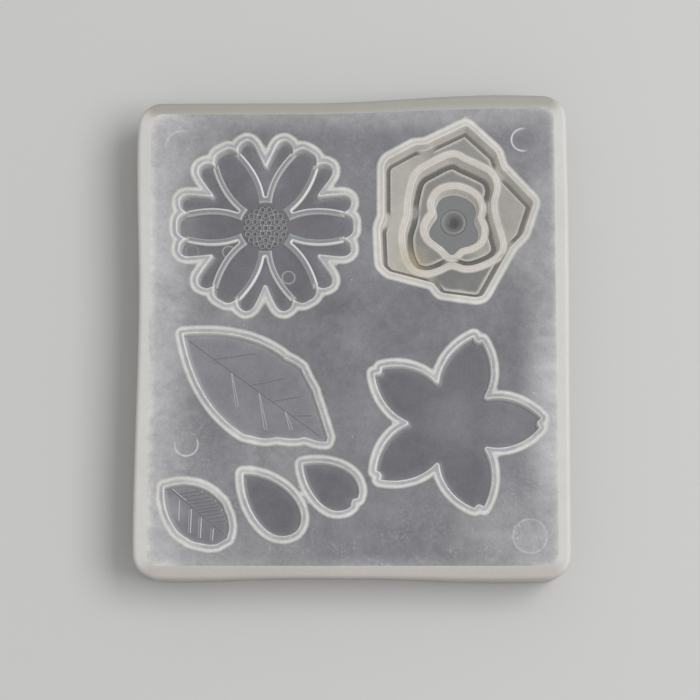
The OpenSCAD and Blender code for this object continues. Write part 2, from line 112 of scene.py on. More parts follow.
def ease(low: float, high: float, value: np.ndarray) -> np.ndarray:
    """Smooth step from 0 at low to 1 at high, which falls where low lies above high."""
    t = np.clip((value - low) / (high - low), 0.0, 1.0)
    return t * t * (3.0 - 2.0 * t)


def bell(middle: float, width: float, value: np.ndarray) -> np.ndarray:
    """A soft bump of height 1 round a middle value."""
    return np.exp(-((value - middle) / width) ** 2)


def wave(stops: tuple[float, ...], heights: tuple[float, ...], at: np.ndarray) -> np.ndarray:
    """A smooth line through a few given stops.

    Args:
        stops: Places along the line, rising.
        heights: Height at each stop.
        at: Where to read the line.

    Returns:
        The line's height at each place.
    """
    out = np.full(at.shape, heights[0], float)
    for x0, x1, h0, h1 in zip(stops, stops[1:], heights, heights[1:]):
        out += (h1 - h0) * ease(x0, x1, at)
    return out


def spot(at: np.ndarray, x: float, y: float, r: float) -> np.ndarray:
    """A soft round spot of height 1 in plan."""
    return np.exp(-((at[:, 0] - x) ** 2 + (at[:, 1] - y) ** 2) / (r * r))


def reach(at: np.ndarray, middle: Pair | np.ndarray) -> np.ndarray:
    """Distance of plan points from a middle."""
    return np.hypot(*(at - middle).T)


def heading(at: np.ndarray, middle: Pair | np.ndarray) -> np.ndarray:
    """Direction of plan points from a middle, in degrees."""
    return np.degrees(np.arctan2(*(at - middle).T[::-1]))


def rounded(d: np.ndarray, r: float) -> np.ndarray:
    """Height of a quarter circle over the distance from its foot."""
    return np.sqrt(np.maximum(r * r - (r - np.clip(d, 0.0, r)) ** 2, 0.0))


def circle(middle: Pair, r: float, count: int = 72) -> np.ndarray:
    """Points of a circle in plan, counter-clockwise."""
    turn = np.linspace(0.0, 2.0 * math.pi, count, endpoint=False)
    return np.array(middle) + r * np.column_stack([np.cos(turn), np.sin(turn)])


def grid(low: Pair | np.ndarray, high: Pair | np.ndarray,
         step: float) -> tuple[np.ndarray, np.ndarray, np.ndarray]:
    """A square grid between two corners.

    Args:
        low: Lower left corner.
        high: Upper right corner.
        step: Distance between neighbours.

    Returns:
        The columns, the rows and the plan points, row by row.
    """
    xs, ys = np.arange(low[0], high[0], step), np.arange(low[1], high[1], step)
    gx, gy = np.meshgrid(xs, ys)
    return xs, ys, np.column_stack([gx.ravel(), gy.ravel()])


@dataclass(frozen=True)
class Outline:
    """A closed curve in the plan of the mould, in millimetres.

    Attributes:
        points: The curve's points, in order.
    """

    points: np.ndarray

    @property
    def low(self) -> np.ndarray:
        """Lower left corner of its box."""
        return self.points.min(0)

    @property
    def high(self) -> np.ndarray:
        """Upper right corner of its box."""
        return self.points.max(0)

    @property
    def middle(self) -> np.ndarray:
        """Middle of its box."""
        return (self.low + self.high) / 2.0

    def distance(self, at: np.ndarray) -> np.ndarray:
        """Signed distance to the curve.

        Args:
            at: Plan points.

        Returns:
            Distance at each point, positive outside the curve.
        """
        a = self.points
        b = np.roll(a, -1, axis=0)
        run = b - a
        length2 = np.maximum((run ** 2).sum(1), TINY)
        rise = np.where(np.abs(run[:, 1]) < TINY, TINY, run[:, 1])
        out = np.empty(len(at))
        for first in range(0, len(at), BATCH):
            p = at[first:first + BATCH, None, :]
            rel = p - a
            t = np.clip((rel * run).sum(2) / length2, 0.0, 1.0)
            gap2 = ((rel - t[..., None] * run) ** 2).sum(2).min(1)
            spans = (a[:, 1] > p[..., 1]) != (b[:, 1] > p[..., 1])
            left_of = p[..., 0] < a[:, 0] + rel[..., 1] * run[:, 0] / rise
            inside = (spans & left_of).sum(1) % 2 == 1
            out[first:first + BATCH] = np.where(inside, -1.0, 1.0) * np.sqrt(gap2)
        return out

    def offsets(self, levels: tuple[float, ...], spacing: float = 0.34, cell: float = 0.22,
                shift: Measure | None = None) -> dict[float, list[np.ndarray]]:
        """Curves that run at given signed distances from this one.

        Args:
            levels: Signed distances, positive outside.
            spacing: Distance between neighbouring points of a curve.
            cell: Grid cell of the search.
            shift: What to add to the distance from place to place, if anything.

        Returns:
            For each level, its closed curves.
        """
        pad = max(max(levels), 0.0) + 3 * cell
        xs, ys, at = grid(self.low - pad, self.high + pad, cell)
        height = (self.distance(at) + (shift(at) if shift else 0.0)).reshape(len(ys), len(xs))
        return {v: [evenly(c, spacing) for c in level_curves(height - v, xs, ys)] for v in levels}

    def blunted(self, r: float) -> "Outline":
        """The curve with the points that stand into it rounded to a radius."""
        grown = Outline(self.offsets((r,), 0.2, 0.15)[r][0])
        return Outline(grown.offsets((-r,), 0.2, 0.15)[-r][0])


def evenly(loop: np.ndarray, spacing: float) -> np.ndarray:
    """Spaces a closed curve's points evenly.

    Args:
        loop: The curve's points.
        spacing: Wanted distance between points.

    Returns:
        The new points.
    """
    closed = np.vstack([loop, loop[:1]])
    along = np.concatenate([[0.0], np.cumsum(np.hypot(*np.diff(closed, axis=0).T))])
    at = np.linspace(0.0, along[-1], max(6, round(along[-1] / spacing)), endpoint=False)
    return np.column_stack([np.interp(at, along, closed[:, 0]), np.interp(at, along, closed[:, 1])])


def level_curves(height: np.ndarray, xs: np.ndarray, ys: np.ndarray) -> list[np.ndarray]:
    """Curves along which a grid of heights is zero.

    Args:
        height: Heights, one row for each y.
        xs: Grid columns.
        ys: Grid rows.

    Returns:
        The curves' points.
    """
    above = height > 0
    count = above[:-1, :-1].astype(int) + above[:-1, 1:] + above[1:, :-1] + above[1:, 1:]
    links: dict[tuple[int, int, int], list[tuple[int, int, int]]] = {}
    for row, col in np.argwhere((count > 0) & (count < 4)).tolist():
        sides = [(0, row, col), (1, row, col + 1), (0, row + 1, col), (1, row, col)]
        corners = [above[row, col], above[row, col + 1], above[row + 1, col + 1], above[row + 1, col]]
        cut = [s for k, s in enumerate(sides) if corners[k] != corners[(k + 1) % 4]]
        for one, two in [(cut[0], cut[-1])] + ([(cut[1], cut[2])] if len(cut) == 4 else []):
            links.setdefault(one, []).append(two)
            links.setdefault(two, []).append(one)

    def place(side: tuple[int, int, int]) -> Pair:
        """Finds where the zero lies on one side of a cell.

        Args:
            side: 1 if the side runs along y, else 0, then its row and column.

        Returns:
            The point's x and y.
        """
        up, row, col = side
        h0, h1 = height[row, col], height[row + up, col + 1 - up]
        t = h0 / (h0 - h1)
        along = (1 - up) * t * (xs[1] - xs[0]), up * t * (ys[1] - ys[0])
        return xs[col] + along[0], ys[row] + along[1]

    curves: list[np.ndarray] = []
    left = set(links)
    while left:
        here = min((s for s in left if len(links[s]) == 1), default=min(left))
        path = []
        while here is not None:
            left.discard(here)
            path.append(place(here))
            here = next((n for n in links[here] if n in left), None)
        if len(path) > 5:
            curves.append(np.array(path))
    return curves


def plan_curves(node: str) -> list[np.ndarray]:
    """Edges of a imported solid's highest flat faces.

    Args:
        node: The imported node's name.

    Returns:
        Closed plan curves, the largest first.
    """
    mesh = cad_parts[node].data
    mesh.calc_loop_triangles()
    co = np.empty(len(mesh.vertices) * 3)
    mesh.vertices.foreach_get("co", co)
    co = np.round(co.reshape(-1, 3) / MM, 3)
    tri = np.empty(len(mesh.loop_triangles) * 3, int)
    mesh.loop_triangles.foreach_get("vertices", tri)
    tri = tri.reshape(-1, 3)
    flat = tri[(np.abs(co[tri][:, :, 2] - co[:, 2].max()) < FLAT_MM).all(1)]
    pairs = [(tuple(co[t[k], :2]), tuple(co[t[(k + 1) % 3], :2])) for t in flat for k in range(3)]
    known = set(pairs)
    nexts: dict[Pair, Pair] = {one: two for one, two in pairs if (two, one) not in known}
    curves = []
    while nexts:
        start, here = nexts.popitem()
        path = [start]
        while here != start:
            path.append(here)
            here = nexts.pop(here)
        curves.append(np.array(path))
    return sorted(curves, key=lambda c: -float(np.hypot(*np.ptp(c, axis=0))))


@dataclass
class PlateMesh:
    """Vertices, faces and point fields of a finished piece.

    Attributes:
        verts: Positions in millimetres.
        faces: Vertex numbers of each face.
        fields: One value for each vertex, by name.
    """

    verts: np.ndarray
    faces: list[tuple[int, ...]]
    fields: Fields = field(default_factory=dict)

    @property
    def plan(self) -> np.ndarray:
        """The vertices' places in plan."""
        return self.verts[:, :2]

    def to_object(self, name: str, material: Material, sharp: float = SHARP_DEG) -> Object:
        """Makes a Blender object.

        Args:
            name: Object name.
            material: Finish of the whole piece.
            sharp: Angle in degrees past which an edge stays sharp.

        Returns:
            The object, linked to the scene.
        """
        mesh = bpy.data.meshes.new(name)
        mesh.from_pydata((self.verts * MM).tolist(), [], self.faces)
        mesh.validate()
        for key, values in self.fields.items():
            mesh.attributes.new(key, "FLOAT", "POINT").data.foreach_set("value", values.astype(np.float32))
        mesh.shade_smooth()
        mesh.set_sharp_from_angle(angle=math.radians(sharp))
        mesh.materials.append(material)
        return link_new(name, mesh)

    def dress(self, node: str, slot: str, material: Material, sharp: float = SHARP_DEG) -> None:
        """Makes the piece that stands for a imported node."""
        hand_over(self.to_object(node + "_dressed", material, sharp), node)


def link_new(name: str, data: ID) -> Object:
    """Makes an object of some data and links it to the scene.

    Args:
        name: Object name.
        data: Mesh, camera or lamp.

    Returns:
        The object.
    """
    made = bpy.data.objects.new(name, data)
    bpy.context.scene.collection.objects.link(made)
    return made


def free_edges(tri: np.ndarray) -> set[tuple[int, int]]:
    """The edges that only one of the triangles has."""
    sides = set(map(tuple, tri[:, [0, 1, 1, 2, 2, 0]].reshape(-1, 2).tolist()))
    return {(i, j) for i, j in sides if (j, i) not in sides}


class ReliefPlan:
    """Collects the plan of a relief and turns it into a closed plate."""

    def __init__(self, measures: dict[str, Measure]) -> None:
        """Starts an empty plan.

        Args:
            measures: Functions of plan points that give each point field.
        """
        self.measures = measures
        self.borders: list[np.ndarray] = []
        self.points: list[np.ndarray] = []
        self.edges: list[tuple[int, int]] = []
        self.known: dict[str, list[np.ndarray]] = {name: [] for name in measures}
        self.count = 0

    def add(self, points: np.ndarray, closed: bool = False, name: str = "", level: float = 0.0) -> None:
        """Adds points that the facets meet.

        Args:
            points: Plan points.
            closed: Whether they are joined in a ring.
            name: A field whose value on them is known.
            level: That value.
        """
        n = len(points)
        self.points.append(points)
        if closed:
            self.edges += [(self.count + k, self.count + (k + 1) % n) for k in range(n)]
        for key, parts in self.known.items():
            parts.append(np.full(n, level if key == name else np.nan))
        self.count += n

    def border(self, loop: np.ndarray, name: str = "") -> None:
        """Adds an edge of the plate, outer edge or hole, on which a named field is 0."""
        self.borders.append(loop)
        self.add(loop, True, name)

    def guides(self, curves: dict[float, list[np.ndarray]], name: str, keep: Measure | None = None) -> None:
        """Adds curves that the relief's facets follow.

        Args:
            curves: Curves by the value that a field has on them.
            name: That field.
            keep: Test of which points stay, or None to keep whole curves.
        """
        for level, loops in curves.items():
            for loop in loops:
                self.add(loop if keep is None else loop[keep(loop)], keep is None, name, level)

    def inside(self, at: np.ndarray) -> np.ndarray:
        """Finds the points that lie inside the outer edge and outside the holes.

        Args:
            at: Plan points.

        Returns:
            Whether each one does.
        """
        inside = np.zeros(len(at), bool)
        for loop in self.borders:
            inside ^= Outline(loop).distance(at) < 0
        return inside

    def triangles(self, points: np.ndarray,
                  edges: list[tuple[int, int]]) -> tuple[np.ndarray, np.ndarray, list]:
        """Triangulates points and edges and keeps what lies inside the plate.

        Args:
            points: Plan points.
            edges: Pairs of points that the triangles follow.

        Returns:
            New points, triangles and for each point the old ones that it stands for.
        """
        places = [Vector(p) for p in points.tolist()]
        at, _, tris, origin, _, _ = delaunay_2d_cdt(places, edges, [], 0, MERGE_MM)
        at, tri = np.array([tuple(p) for p in at]), np.array(tris, int)
        a, b, c = at[tri[:, 0]], at[tri[:, 1]], at[tri[:, 2]]
        area = (b - a)[:, 0] * (c - a)[:, 1] - (b - a)[:, 1] * (c - a)[:, 0]
        tri = np.where((area < -SLIVER)[:, None], tri[:, ::-1], tri)
        keep = self.inside((a + b + c) / 3.0)
        tri, thin = tri[keep], np.abs(area[keep]) < SLIVER
        # Thin triangles along the border are dropped, because they would leave faces without area
        while thin.any():
            free = free_edges(tri)
            loose = np.array([len(free & set(zip(t, t[1:] + t[:1]))) > 0 for t in tri.tolist()]) & thin
            if not loose.any():
                break
            tri, thin = tri[~loose], thin[~loose]
        return at, tri, origin

    def solid(self, height: Callable[[np.ndarray, Fields], np.ndarray], base: float) -> PlateMesh:
        """Closes the relief into a plate with a flat underside.

        Args:
            height: Gives the upper face's height from plan points and their fields.
            base: Height of the underside.

        Returns:
            The closed mesh.
        """
        at, tri, origin = self.triangles(np.vstack(self.points), self.edges)
        used = np.unique(tri)
        renumber = np.full(len(at), -1)
        renumber[used] = np.arange(len(used))
        tri, at = renumber[tri], at[used]
        first = np.array([origin[u][0] if origin[u] else -1 for u in used])
        fields: Fields = {}
        for name, measure in self.measures.items():
            fields[name] = np.where(first >= 0, np.concatenate(self.known[name])[first], np.nan)
            unknown = np.isnan(fields[name])
            fields[name][unknown] = measure(at[unknown])
        rim = sorted(free_edges(tri))
        ring = np.unique(np.array(rim))
        below = {int(r): k for k, r in enumerate(ring)}
        n = len(at)
        faces: list[tuple[int, ...]] = list(map(tuple, tri.tolist()))
        faces += [(i, n + below[i], n + below[j], j) for i, j in rim]
        _, floor_tri, floor_from = self.triangles(at[ring], [(below[i], below[j]) for i, j in rim])
        faces += [tuple(n + floor_from[v][0] for v in reversed(t)) for t in floor_tri.tolist()]
        top = np.column_stack([at, height(at, fields)])
        under = np.column_stack([at[ring], np.full(len(ring), base)])
        spread = {key: np.concatenate([v, v[ring]]) for key, v in fields.items()}
        return PlateMesh(np.vstack([top, under]), faces, spread)


def hand_over(piece: Object, node: str) -> None:
    """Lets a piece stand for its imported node, on the mould's one body.

    Light goes through thin silicone, so only the tall rim holds it back.

    Args:
        piece: The finished piece.
        node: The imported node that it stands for.
    """
    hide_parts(node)
    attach(piece, "root")
    piece.visible_shadow = piece.visible_diffuse = node == "rim_skirt"
    log.info("%s: %d faces stand for %s", piece.name, len(piece.data.polygons), node)


class NodeBoard:
    """Adds and joins the nodes of one tree."""

    def __init__(self, tree: NodeTree) -> None:
        """Takes the tree."""
        self.tree = tree

    def add(self, kind: str, inputs: dict[str | int, object] | None = None, **settings: object) -> Node:
        """Adds a node.

        Args:
            kind: Blender's name of the node type.
            inputs: Socket values, or sockets to link from, by name or number.
            **settings: Properties of the node.

        Returns:
            The node.
        """
        node = self.tree.nodes.new(kind)
        for key, value in settings.items():
            setattr(node, key, value)
        for key, value in (inputs or {}).items():
            if isinstance(value, Socket):
                self.tree.links.new(value, node.inputs[key])
            else:
                node.inputs[key].default_value = value
        return node

    def math(self, operation: str, one: object, two: object = 0.0, clamp: bool = False) -> Socket:
        """Adds a Math node and returns its output."""
        node = self.add("ShaderNodeMath", {0: one, 1: two}, operation=operation, use_clamp=clamp)
        return node.outputs[0]

    def times(self, one: object, two: object) -> Socket:
        """Multiplies two values."""
        return self.math("MULTIPLY", one, two)

    def span(self, value: object, low: float, high: float, to: float = 1.0, smooth: bool = False) -> Socket:
        """Maps a range of values to 0 up to a top value, clamped.

        Args:
            value: What to map.
            low: Where the result is 0.
            high: Where the result is the top value.
            to: The top value.
            smooth: Whether the ends are eased.

        Returns:
            The result's socket.
        """
        limits = {"Value": value, "From Min": low, "From Max": high, "To Max": to}
        kind = "SMOOTHSTEP" if smooth else "LINEAR"
        return self.add("ShaderNodeMapRange", limits, interpolation_type=kind).outputs[0]

    def mix(self, factor: object, one: object, two: object, blend: str = "MIX") -> Socket:
        """Mixes two colours."""
        node = self.add("ShaderNodeMix", {0: factor, 6: one, 7: two}, data_type="RGBA", blend_type=blend)
        return node.outputs[2]

    def noise(self, where: Socket, scale: object, detail: float = 3.0, **inputs: float) -> Socket:
        """Adds a noise texture and returns its value."""
        values = {"Vector": where, "Scale": scale, "Detail": detail, **inputs}
        return self.add("ShaderNodeTexNoise", values).outputs["Fac"]

    def bands(self, value: Socket, stops: tuple[tuple[float, Colour], ...]) -> Socket:
        """Adds a colour ramp over distances in millimetres.

        Args:
            value: The socket that holds the distance.
            stops: Distances with their colours, rising.

        Returns:
            The ramp's colour.
        """
        low, high = stops[0][0], stops[-1][0]
        ramp = self.add("ShaderNodeValToRGB", {0: self.span(value, low, high)})
        parts = ramp.color_ramp.elements
        while len(parts) < len(stops):
            parts.new(0.5)
        for part, (at, colour) in zip(parts, stops):
            part.position = (at - low) / (high - low)
            part.color = colour
        return ramp.outputs[0]

    def field(self, name: str) -> Socket:
        """Reads a point field of the piece."""
        return self.add("ShaderNodeAttribute", attribute_name=name).outputs["Fac"]

    def group(self, tree: NodeTree, inputs: dict[str, object]) -> Socket:
        """Places a shader group with its own values and returns its output."""
        return self.add("ShaderNodeGroup", inputs, node_tree=tree).outputs[0]


class Effect(Enum):
    """Surface effects that several finishes share."""

    CLOUD = "cloudy_milk"
    DUST = "dust_and_scuffs"
    SILK = "silk_skin"


class SharedEffects:
    """The shader groups for cloudiness, dust and the skin's fine unevenness."""

    def __init__(self) -> None:
        """Builds the three groups."""
        self.trees = {Effect.CLOUD: self.cloud(), Effect.DUST: self.dust(), Effect.SILK: self.silk()}

    @staticmethod
    def start(effect: Effect, inputs: tuple[str, ...],
              output: str) -> tuple[NodeBoard, list[Socket], Socket]:
        """Starts a group that takes a place and some values.

        Args:
            effect: Which effect it holds.
            inputs: Names of the value inputs.
            output: Name of the value that it puts out.

        Returns:
            The board, the input sockets from the place on, and the socket that takes the result.
        """
        tree = bpy.data.node_groups.new(effect.value, "ShaderNodeTree")
        tree.interface.new_socket("Vector", in_out="INPUT", socket_type="NodeSocketVector")
        for name in inputs:
            tree.interface.new_socket(name, in_out="INPUT", socket_type="NodeSocketFloat")
        tree.interface.new_socket(output, in_out="OUTPUT", socket_type="NodeSocketFloat")
        board = NodeBoard(tree)
        source = board.add("NodeGroupInput")
        return board, list(source.outputs)[:1 + len(inputs)], board.add("NodeGroupOutput").inputs[output]

    def cloud(self) -> NodeTree:
        """Soft cloudiness at three sizes: a factor round 1.

        Returns:
            The group's tree.
        """
        board, (where, amount, grain), out = self.start(Effect.CLOUD, ("Amount", "Grain"), "Factor")
        wide = board.noise(where, 60.0, 6.0, Roughness=0.62, Distortion=0.9)
        middle = board.noise(where, 330.0, 5.0, Roughness=0.7, Distortion=0.5)
        fine = board.noise(where, 1900.0, 2.0)
        soft = board.math("ADD", board.times(wide, 1.2), board.times(middle, 0.8))
        swing = board.times(board.math("SUBTRACT", soft, 1.0), amount)
        speckle = board.times(board.math("SUBTRACT", fine, 0.5), grain)
        board.tree.links.new(board.math("ADD", board.math("ADD", swing, speckle), 1.0), out)
        return board.tree

    def dust(self) -> NodeTree:
        """Bright specks and frosted scuffs: a mask from 0 to 1.

        Returns:
            The group's tree.
        """
        board, (where, specks, scuffs), out = self.start(Effect.DUST, ("Specks", "Scuffs"), "Mask")
        cells = board.add("ShaderNodeTexVoronoi", {"Vector": where, "Scale": 330.0})
        chance = board.add("ShaderNodeSeparateColor", {0: cells.outputs["Color"]}).outputs[0]
        chosen = board.math("GREATER_THAN", chance, 0.9)
        dots = board.times(board.span(cells.outputs["Distance"], 0.085, 0.03), chosen)
        flakes = board.span(board.noise(where, 1250.0, 4.0, Roughness=0.75), 0.50, 0.74)
        patches = board.span(board.noise(where, 120.0, 4.0, Distortion=1.2), 0.42, 0.72)
        frost = board.times(board.times(flakes, patches), scuffs)
        board.tree.links.new(board.math("MAXIMUM", board.times(dots, specks), frost, clamp=True), out)
        return board.tree

    def silk(self) -> NodeTree:
        """Fine unevenness of moulded silicone: a bump height.

        Returns:
            The group's tree.
        """
        board, (where, ripple), out = self.start(Effect.SILK, ("Ripple",), "Height")
        waves = board.times(board.noise(where, 120.0, 2.0), ripple)
        board.tree.links.new(board.math("ADD", board.noise(where, 1100.0), waves), out)
        return board.tree


@cache
def shared_effects() -> SharedEffects:
    """The shared shader groups, built on first use."""
    return SharedEffects()


LIP_CREAM = tone(212, 210, 204)
LIP_BLUE = tone(164, 168, 174)
# White of a cavity's edge, a painted highlight
LIP_WHITE = tone(216, 215, 211)
# Pale of the rim: painted light where the wall is seen end on
RIM_PALE = tone(208, 207, 203)
# Tone of dust, and of the painted highlights on the tool marks' edges
DUST_AND_GLINT_TONE = tone(212, 212, 213)


@dataclass(frozen=True)
class SiliconeFinish:
    """Milky silicone, and what all its finishes have in common.

    Attributes:
        name: Material name.
        gloss: Roughness of the skin.
        cloud: How strongly the tone clouds.
        grain: How strongly the finest speckle shows.
        specks: How strongly bright specks show.
        scuffs: How strongly frosted scuffs show.
    """

    name: str
    gloss: float = 0.42
    cloud: float = 0.42
    grain: float = 0.28
    specks: float = 0.3
    scuffs: float = 0.0

    def base_colour(self, board: NodeBoard) -> Socket:
        """The tone before clouds and dust; each finish has its own."""
        raise NotImplementedError

    def scuffing(self, board: NodeBoard) -> object:
        """How strongly scuffs show, as a value or a socket."""
        return self.scuffs

    def build(self) -> Material:
        """Makes the material.

        Returns:
            The material, ready for a piece.
        """
        material = bpy.data.materials.new(self.name)
        material.use_nodes = True
        material.node_tree.nodes.clear()
        board = NodeBoard(material.node_tree)
        where = board.add("ShaderNodeTexCoord").outputs["Object"]
        trees = shared_effects().trees
        clouds = {"Vector": where, "Amount": self.cloud, "Grain": self.grain}
        cloud = board.group(trees[Effect.CLOUD], clouds)
        marks = {"Vector": where, "Specks": self.specks, "Scuffs": self.scuffing(board)}
        dust = board.group(trees[Effect.DUST], marks)
        silk = board.group(trees[Effect.SILK], {"Vector": where, "Ripple": 1.5})
        clouded = board.mix(1.0, self.base_colour(board), cloud, "MULTIPLY")
        colour = board.mix(dust, clouded, DUST_AND_GLINT_TONE)
        bump = board.add("ShaderNodeBump", {"Strength": 0.1, "Distance": 0.0004, "Height": silk})
        skin = board.add("ShaderNodeBsdfPrincipled", {
            "Base Color": colour, "Normal": bump.outputs[0], "IOR": 1.41,
            "Roughness": board.math("ADD", board.times(cloud, 0.2), self.gloss - 0.2, clamp=True)})
        board.add("ShaderNodeOutputMaterial", {"Surface": skin.outputs[0]})
        return material


@dataclass(frozen=True)
class SheetFinish(SiliconeFinish):
    """The thin sheet: grey where nothing is behind it, hazy near the rim, pale beside the lips."""

    def base_colour(self, board: NodeBoard) -> Socket:
        """Haze over the sheet, its blend into the rim's painted light and the glow beside the lips.

        Args:
            board: The material's node board.

        Returns:
            The tone's socket.
        """
        haze = board.mix(board.field("haze"), tone(112, 111, 117), tone(183, 183, 185))
        rimmed = board.mix(board.field("rim_glow"), haze, RIM_PALE)
        glow = board.span(board.field("lip_mm"), 2.3, LIP_W, 0.8, smooth=True)
        # Painted highlights on the tool marks' edges, in the tone of dust
        return board.mix(board.field("glint"), board.mix(glow, rimmed, LIP_CREAM), DUST_AND_GLINT_TONE)

    def scuffing(self, board: NodeBoard) -> object:
        """Scuffs show where the sheet is frosted."""
        return board.field("frost")


@dataclass(frozen=True)
class RimFinish(SiliconeFinish):
    """The tall rim, with painted light and shade: pale where the wall is seen end on, beige where it is in
    shade.
    """

    def base_colour(self, board: NodeBoard) -> Socket:
        """Painted light at the sides, painted shade along the far end, and warmer painted shade at the near
        end and on the outer face.

        Args:
            board: The material's node board.

        Returns:
            The tone's socket.
        """
        upper = board.mix(board.field("far"), RIM_PALE, tone(167, 164, 157))
        upper = board.mix(board.field("near"), upper, tone(187, 182, 177))
        where = board.add("ShaderNodeTexCoord").outputs["Object"]
        level = board.add("ShaderNodeSeparateXYZ", {0: where}).outputs["Z"]
        # Painted light and shade: the outer face is paler at the top and darker towards its foot
        face = board.mix(board.span(level, 0.001, 0.014), tone(166, 162, 155), tone(188, 184, 178))
        return board.mix(board.field("outer"), upper, face)


@dataclass(frozen=True)
class CupFinish(SiliconeFinish):
    """A cavity: cream, blue-grey and white bands on its lip, the white one a painted highlight, and a darker
    glossy floor.

    Attributes:
        floor: Display tone of the floor.
    """

    floor: tuple[float, float, float] = (111, 110, 116)

    def lifted(self, by: float) -> Colour:
        """The floor's tone, paler by a number of display steps."""
        return tone(*(v + by for v in self.floor))

    def base_colour(self, board: NodeBoard) -> Socket:
        """Bands by distance from the cavity's mouth, uneven along the lip.

        Args:
            board: The material's node board.

        Returns:
            The tone's socket.
        """
        where = board.add("ShaderNodeTexCoord").outputs["Object"]
        on_lip = board.span(board.field("mouth_mm"), 0.0, 0.25)
        swing = board.math("SUBTRACT", board.noise(where, 500.0), 0.5)
        uneven = board.times(swing, board.times(on_lip, 0.5))
        # Painted highlight along the mouth's edge, and painted light on the walls that fades into the floor
        bands = board.bands(board.math("ADD", board.field("mouth_mm"), uneven), (
            (-2.4, self.lifted(0)), (-1.2, self.lifted(5)), (-0.6, self.lifted(14)),
            (-0.36, self.lifted(26)), (-0.18, tone(178, 177, 176)), (-0.02, LIP_WHITE),
            (0.24, LIP_WHITE), (0.42, LIP_BLUE), (1.0, LIP_BLUE), (1.3, LIP_CREAM), (1.8, LIP_CREAM)))
        # Painted highlights and painted shade on the floor
        lit = board.mix(board.field("shine"), bands, self.lifted(40))
        milky = board.times(board.span(board.noise(where, 90.0), 0.42, 0.7, 0.6), on_lip)
        # Painted light on the walls that lean most, with the floor's pale ring marks
        return board.mix(board.field("pale"), board.mix(milky, lit, LIP_CREAM), tone(212, 210, 206))


@dataclass(frozen=True)
class RoseFinish(SiliconeFinish):
    """A step of the rose: cream walls, painted shade in the groove and a grey ledge with painted light and
    shade.

    Attributes:
        ledge: Tone of the ledge where it is darkest.
        groove: Tone of the painted shade in the groove.
    """

    grain: float = 0.15
    ledge: Colour = tone(116, 116, 114)
    groove: Colour = tone(116, 114, 112)

    def base_colour(self, board: NodeBoard) -> Socket:
        """Bands by distance from the step's mouth and from the next step's.

        Args:
            board: The material's node board.

        Returns:
            The tone's socket.
        """
        # Painted light and shade on the ledge by direction, then painted shade in the groove
        ledge = board.mix(board.field("pale"), self.ledge, tone(192, 188, 181))
        ledge = board.mix(board.field("groove"), ledge, self.groove)
        # Painted light on the walls and a painted highlight along the upper edge
        lip = board.bands(board.field("mouth_mm"), (
            (-0.3, tone(212, 207, 199)), (-0.02, tone(214, 209, 202)), (0.08, tone(218, 214, 207)),
            (0.4, tone(210, 206, 199)), (0.62, tone(194, 191, 186)), (1.0, tone(198, 196, 190)),
            (1.25, LIP_CREAM), (1.8, LIP_CREAM)))
        walled = board.mix(board.span(board.field("mouth_mm"), -0.62, -0.36), ledge, lip)
        ring = board.bands(board.field("hole_mm"), (
            (-0.2, tone(198, 192, 184)), (0.0, tone(214, 209, 201)), (0.3, tone(212, 207, 199)),
            (0.5, tone(190, 185, 178)), (0.75, tone(214, 209, 201)), (1.1, tone(198, 193, 186)),
            (1.5, tone(212, 207, 200)), (1.9, tone(186, 182, 176))))
        ringed = board.mix(board.span(board.field("hole_mm"), 2.2, 1.8), walled, ring)
        return board.mix(board.field("warm"), ringed, tone(178, 166, 136))


@dataclass(frozen=True)
class RidgeFinish(SiliconeFinish):
    """The daisy's ridges: a broad cream edge, a blue-grey back and a fine cream edge."""

    def base_colour(self, board: NodeBoard) -> Socket:
        """Bands by distance from the small petals' side, with a fine line along the other edges.

        Args:
            board: The material's node board.

        Returns:
            The tone's socket.
        """
        vee = board.field("vee_mm")
        back = board.bands(vee, (
            (-0.1, tone(196, 195, 191)), (0.06, tone(226, 224, 218)), (0.4, tone(224, 222, 217)),
            (0.6, tone(136, 141, 148)), (1.6, tone(140, 145, 152))))
        fine = board.times(board.span(board.field("edge_mm"), -0.4, -0.24), board.span(vee, 0.5, 0.8))
        return board.mix(board.field("low"), board.mix(fine, back, tone(188, 187, 183)), tone(120, 119, 125))


@dataclass(frozen=True)
class SeedFinish(SiliconeFinish):
    """The seed disc: painted shade in each dimple, inside the painted highlight of its bead."""

    def base_colour(self, board: NodeBoard) -> Socket:
        """Bands by distance from the nearest dimple's middle: a painted highlight at the middle, painted
        shade in the dimple and a painted highlight on its bead.

        Args:
            board: The material's node board.

        Returns:
            The tone's socket.
        """
        return board.bands(board.field("seed_mm"), (
            (0.0, tone(122, 122, 126)), (0.22, tone(102, 102, 106)), (0.5, tone(96, 96, 100)),
            (0.6, tone(176, 176, 176)), (0.66, tone(176, 176, 175)), (0.75, tone(98, 97, 102))))


@dataclass(frozen=True)
class VeinFinish(SiliconeFinish):
    """Leaf veins: some read as fine dark lines, others as pale ones."""

    def base_colour(self, board: NodeBoard) -> Socket:
        """Dark or pale by the vein's own value."""
        return board.mix(board.field("pale"), tone(98, 97, 102), tone(206, 206, 207))


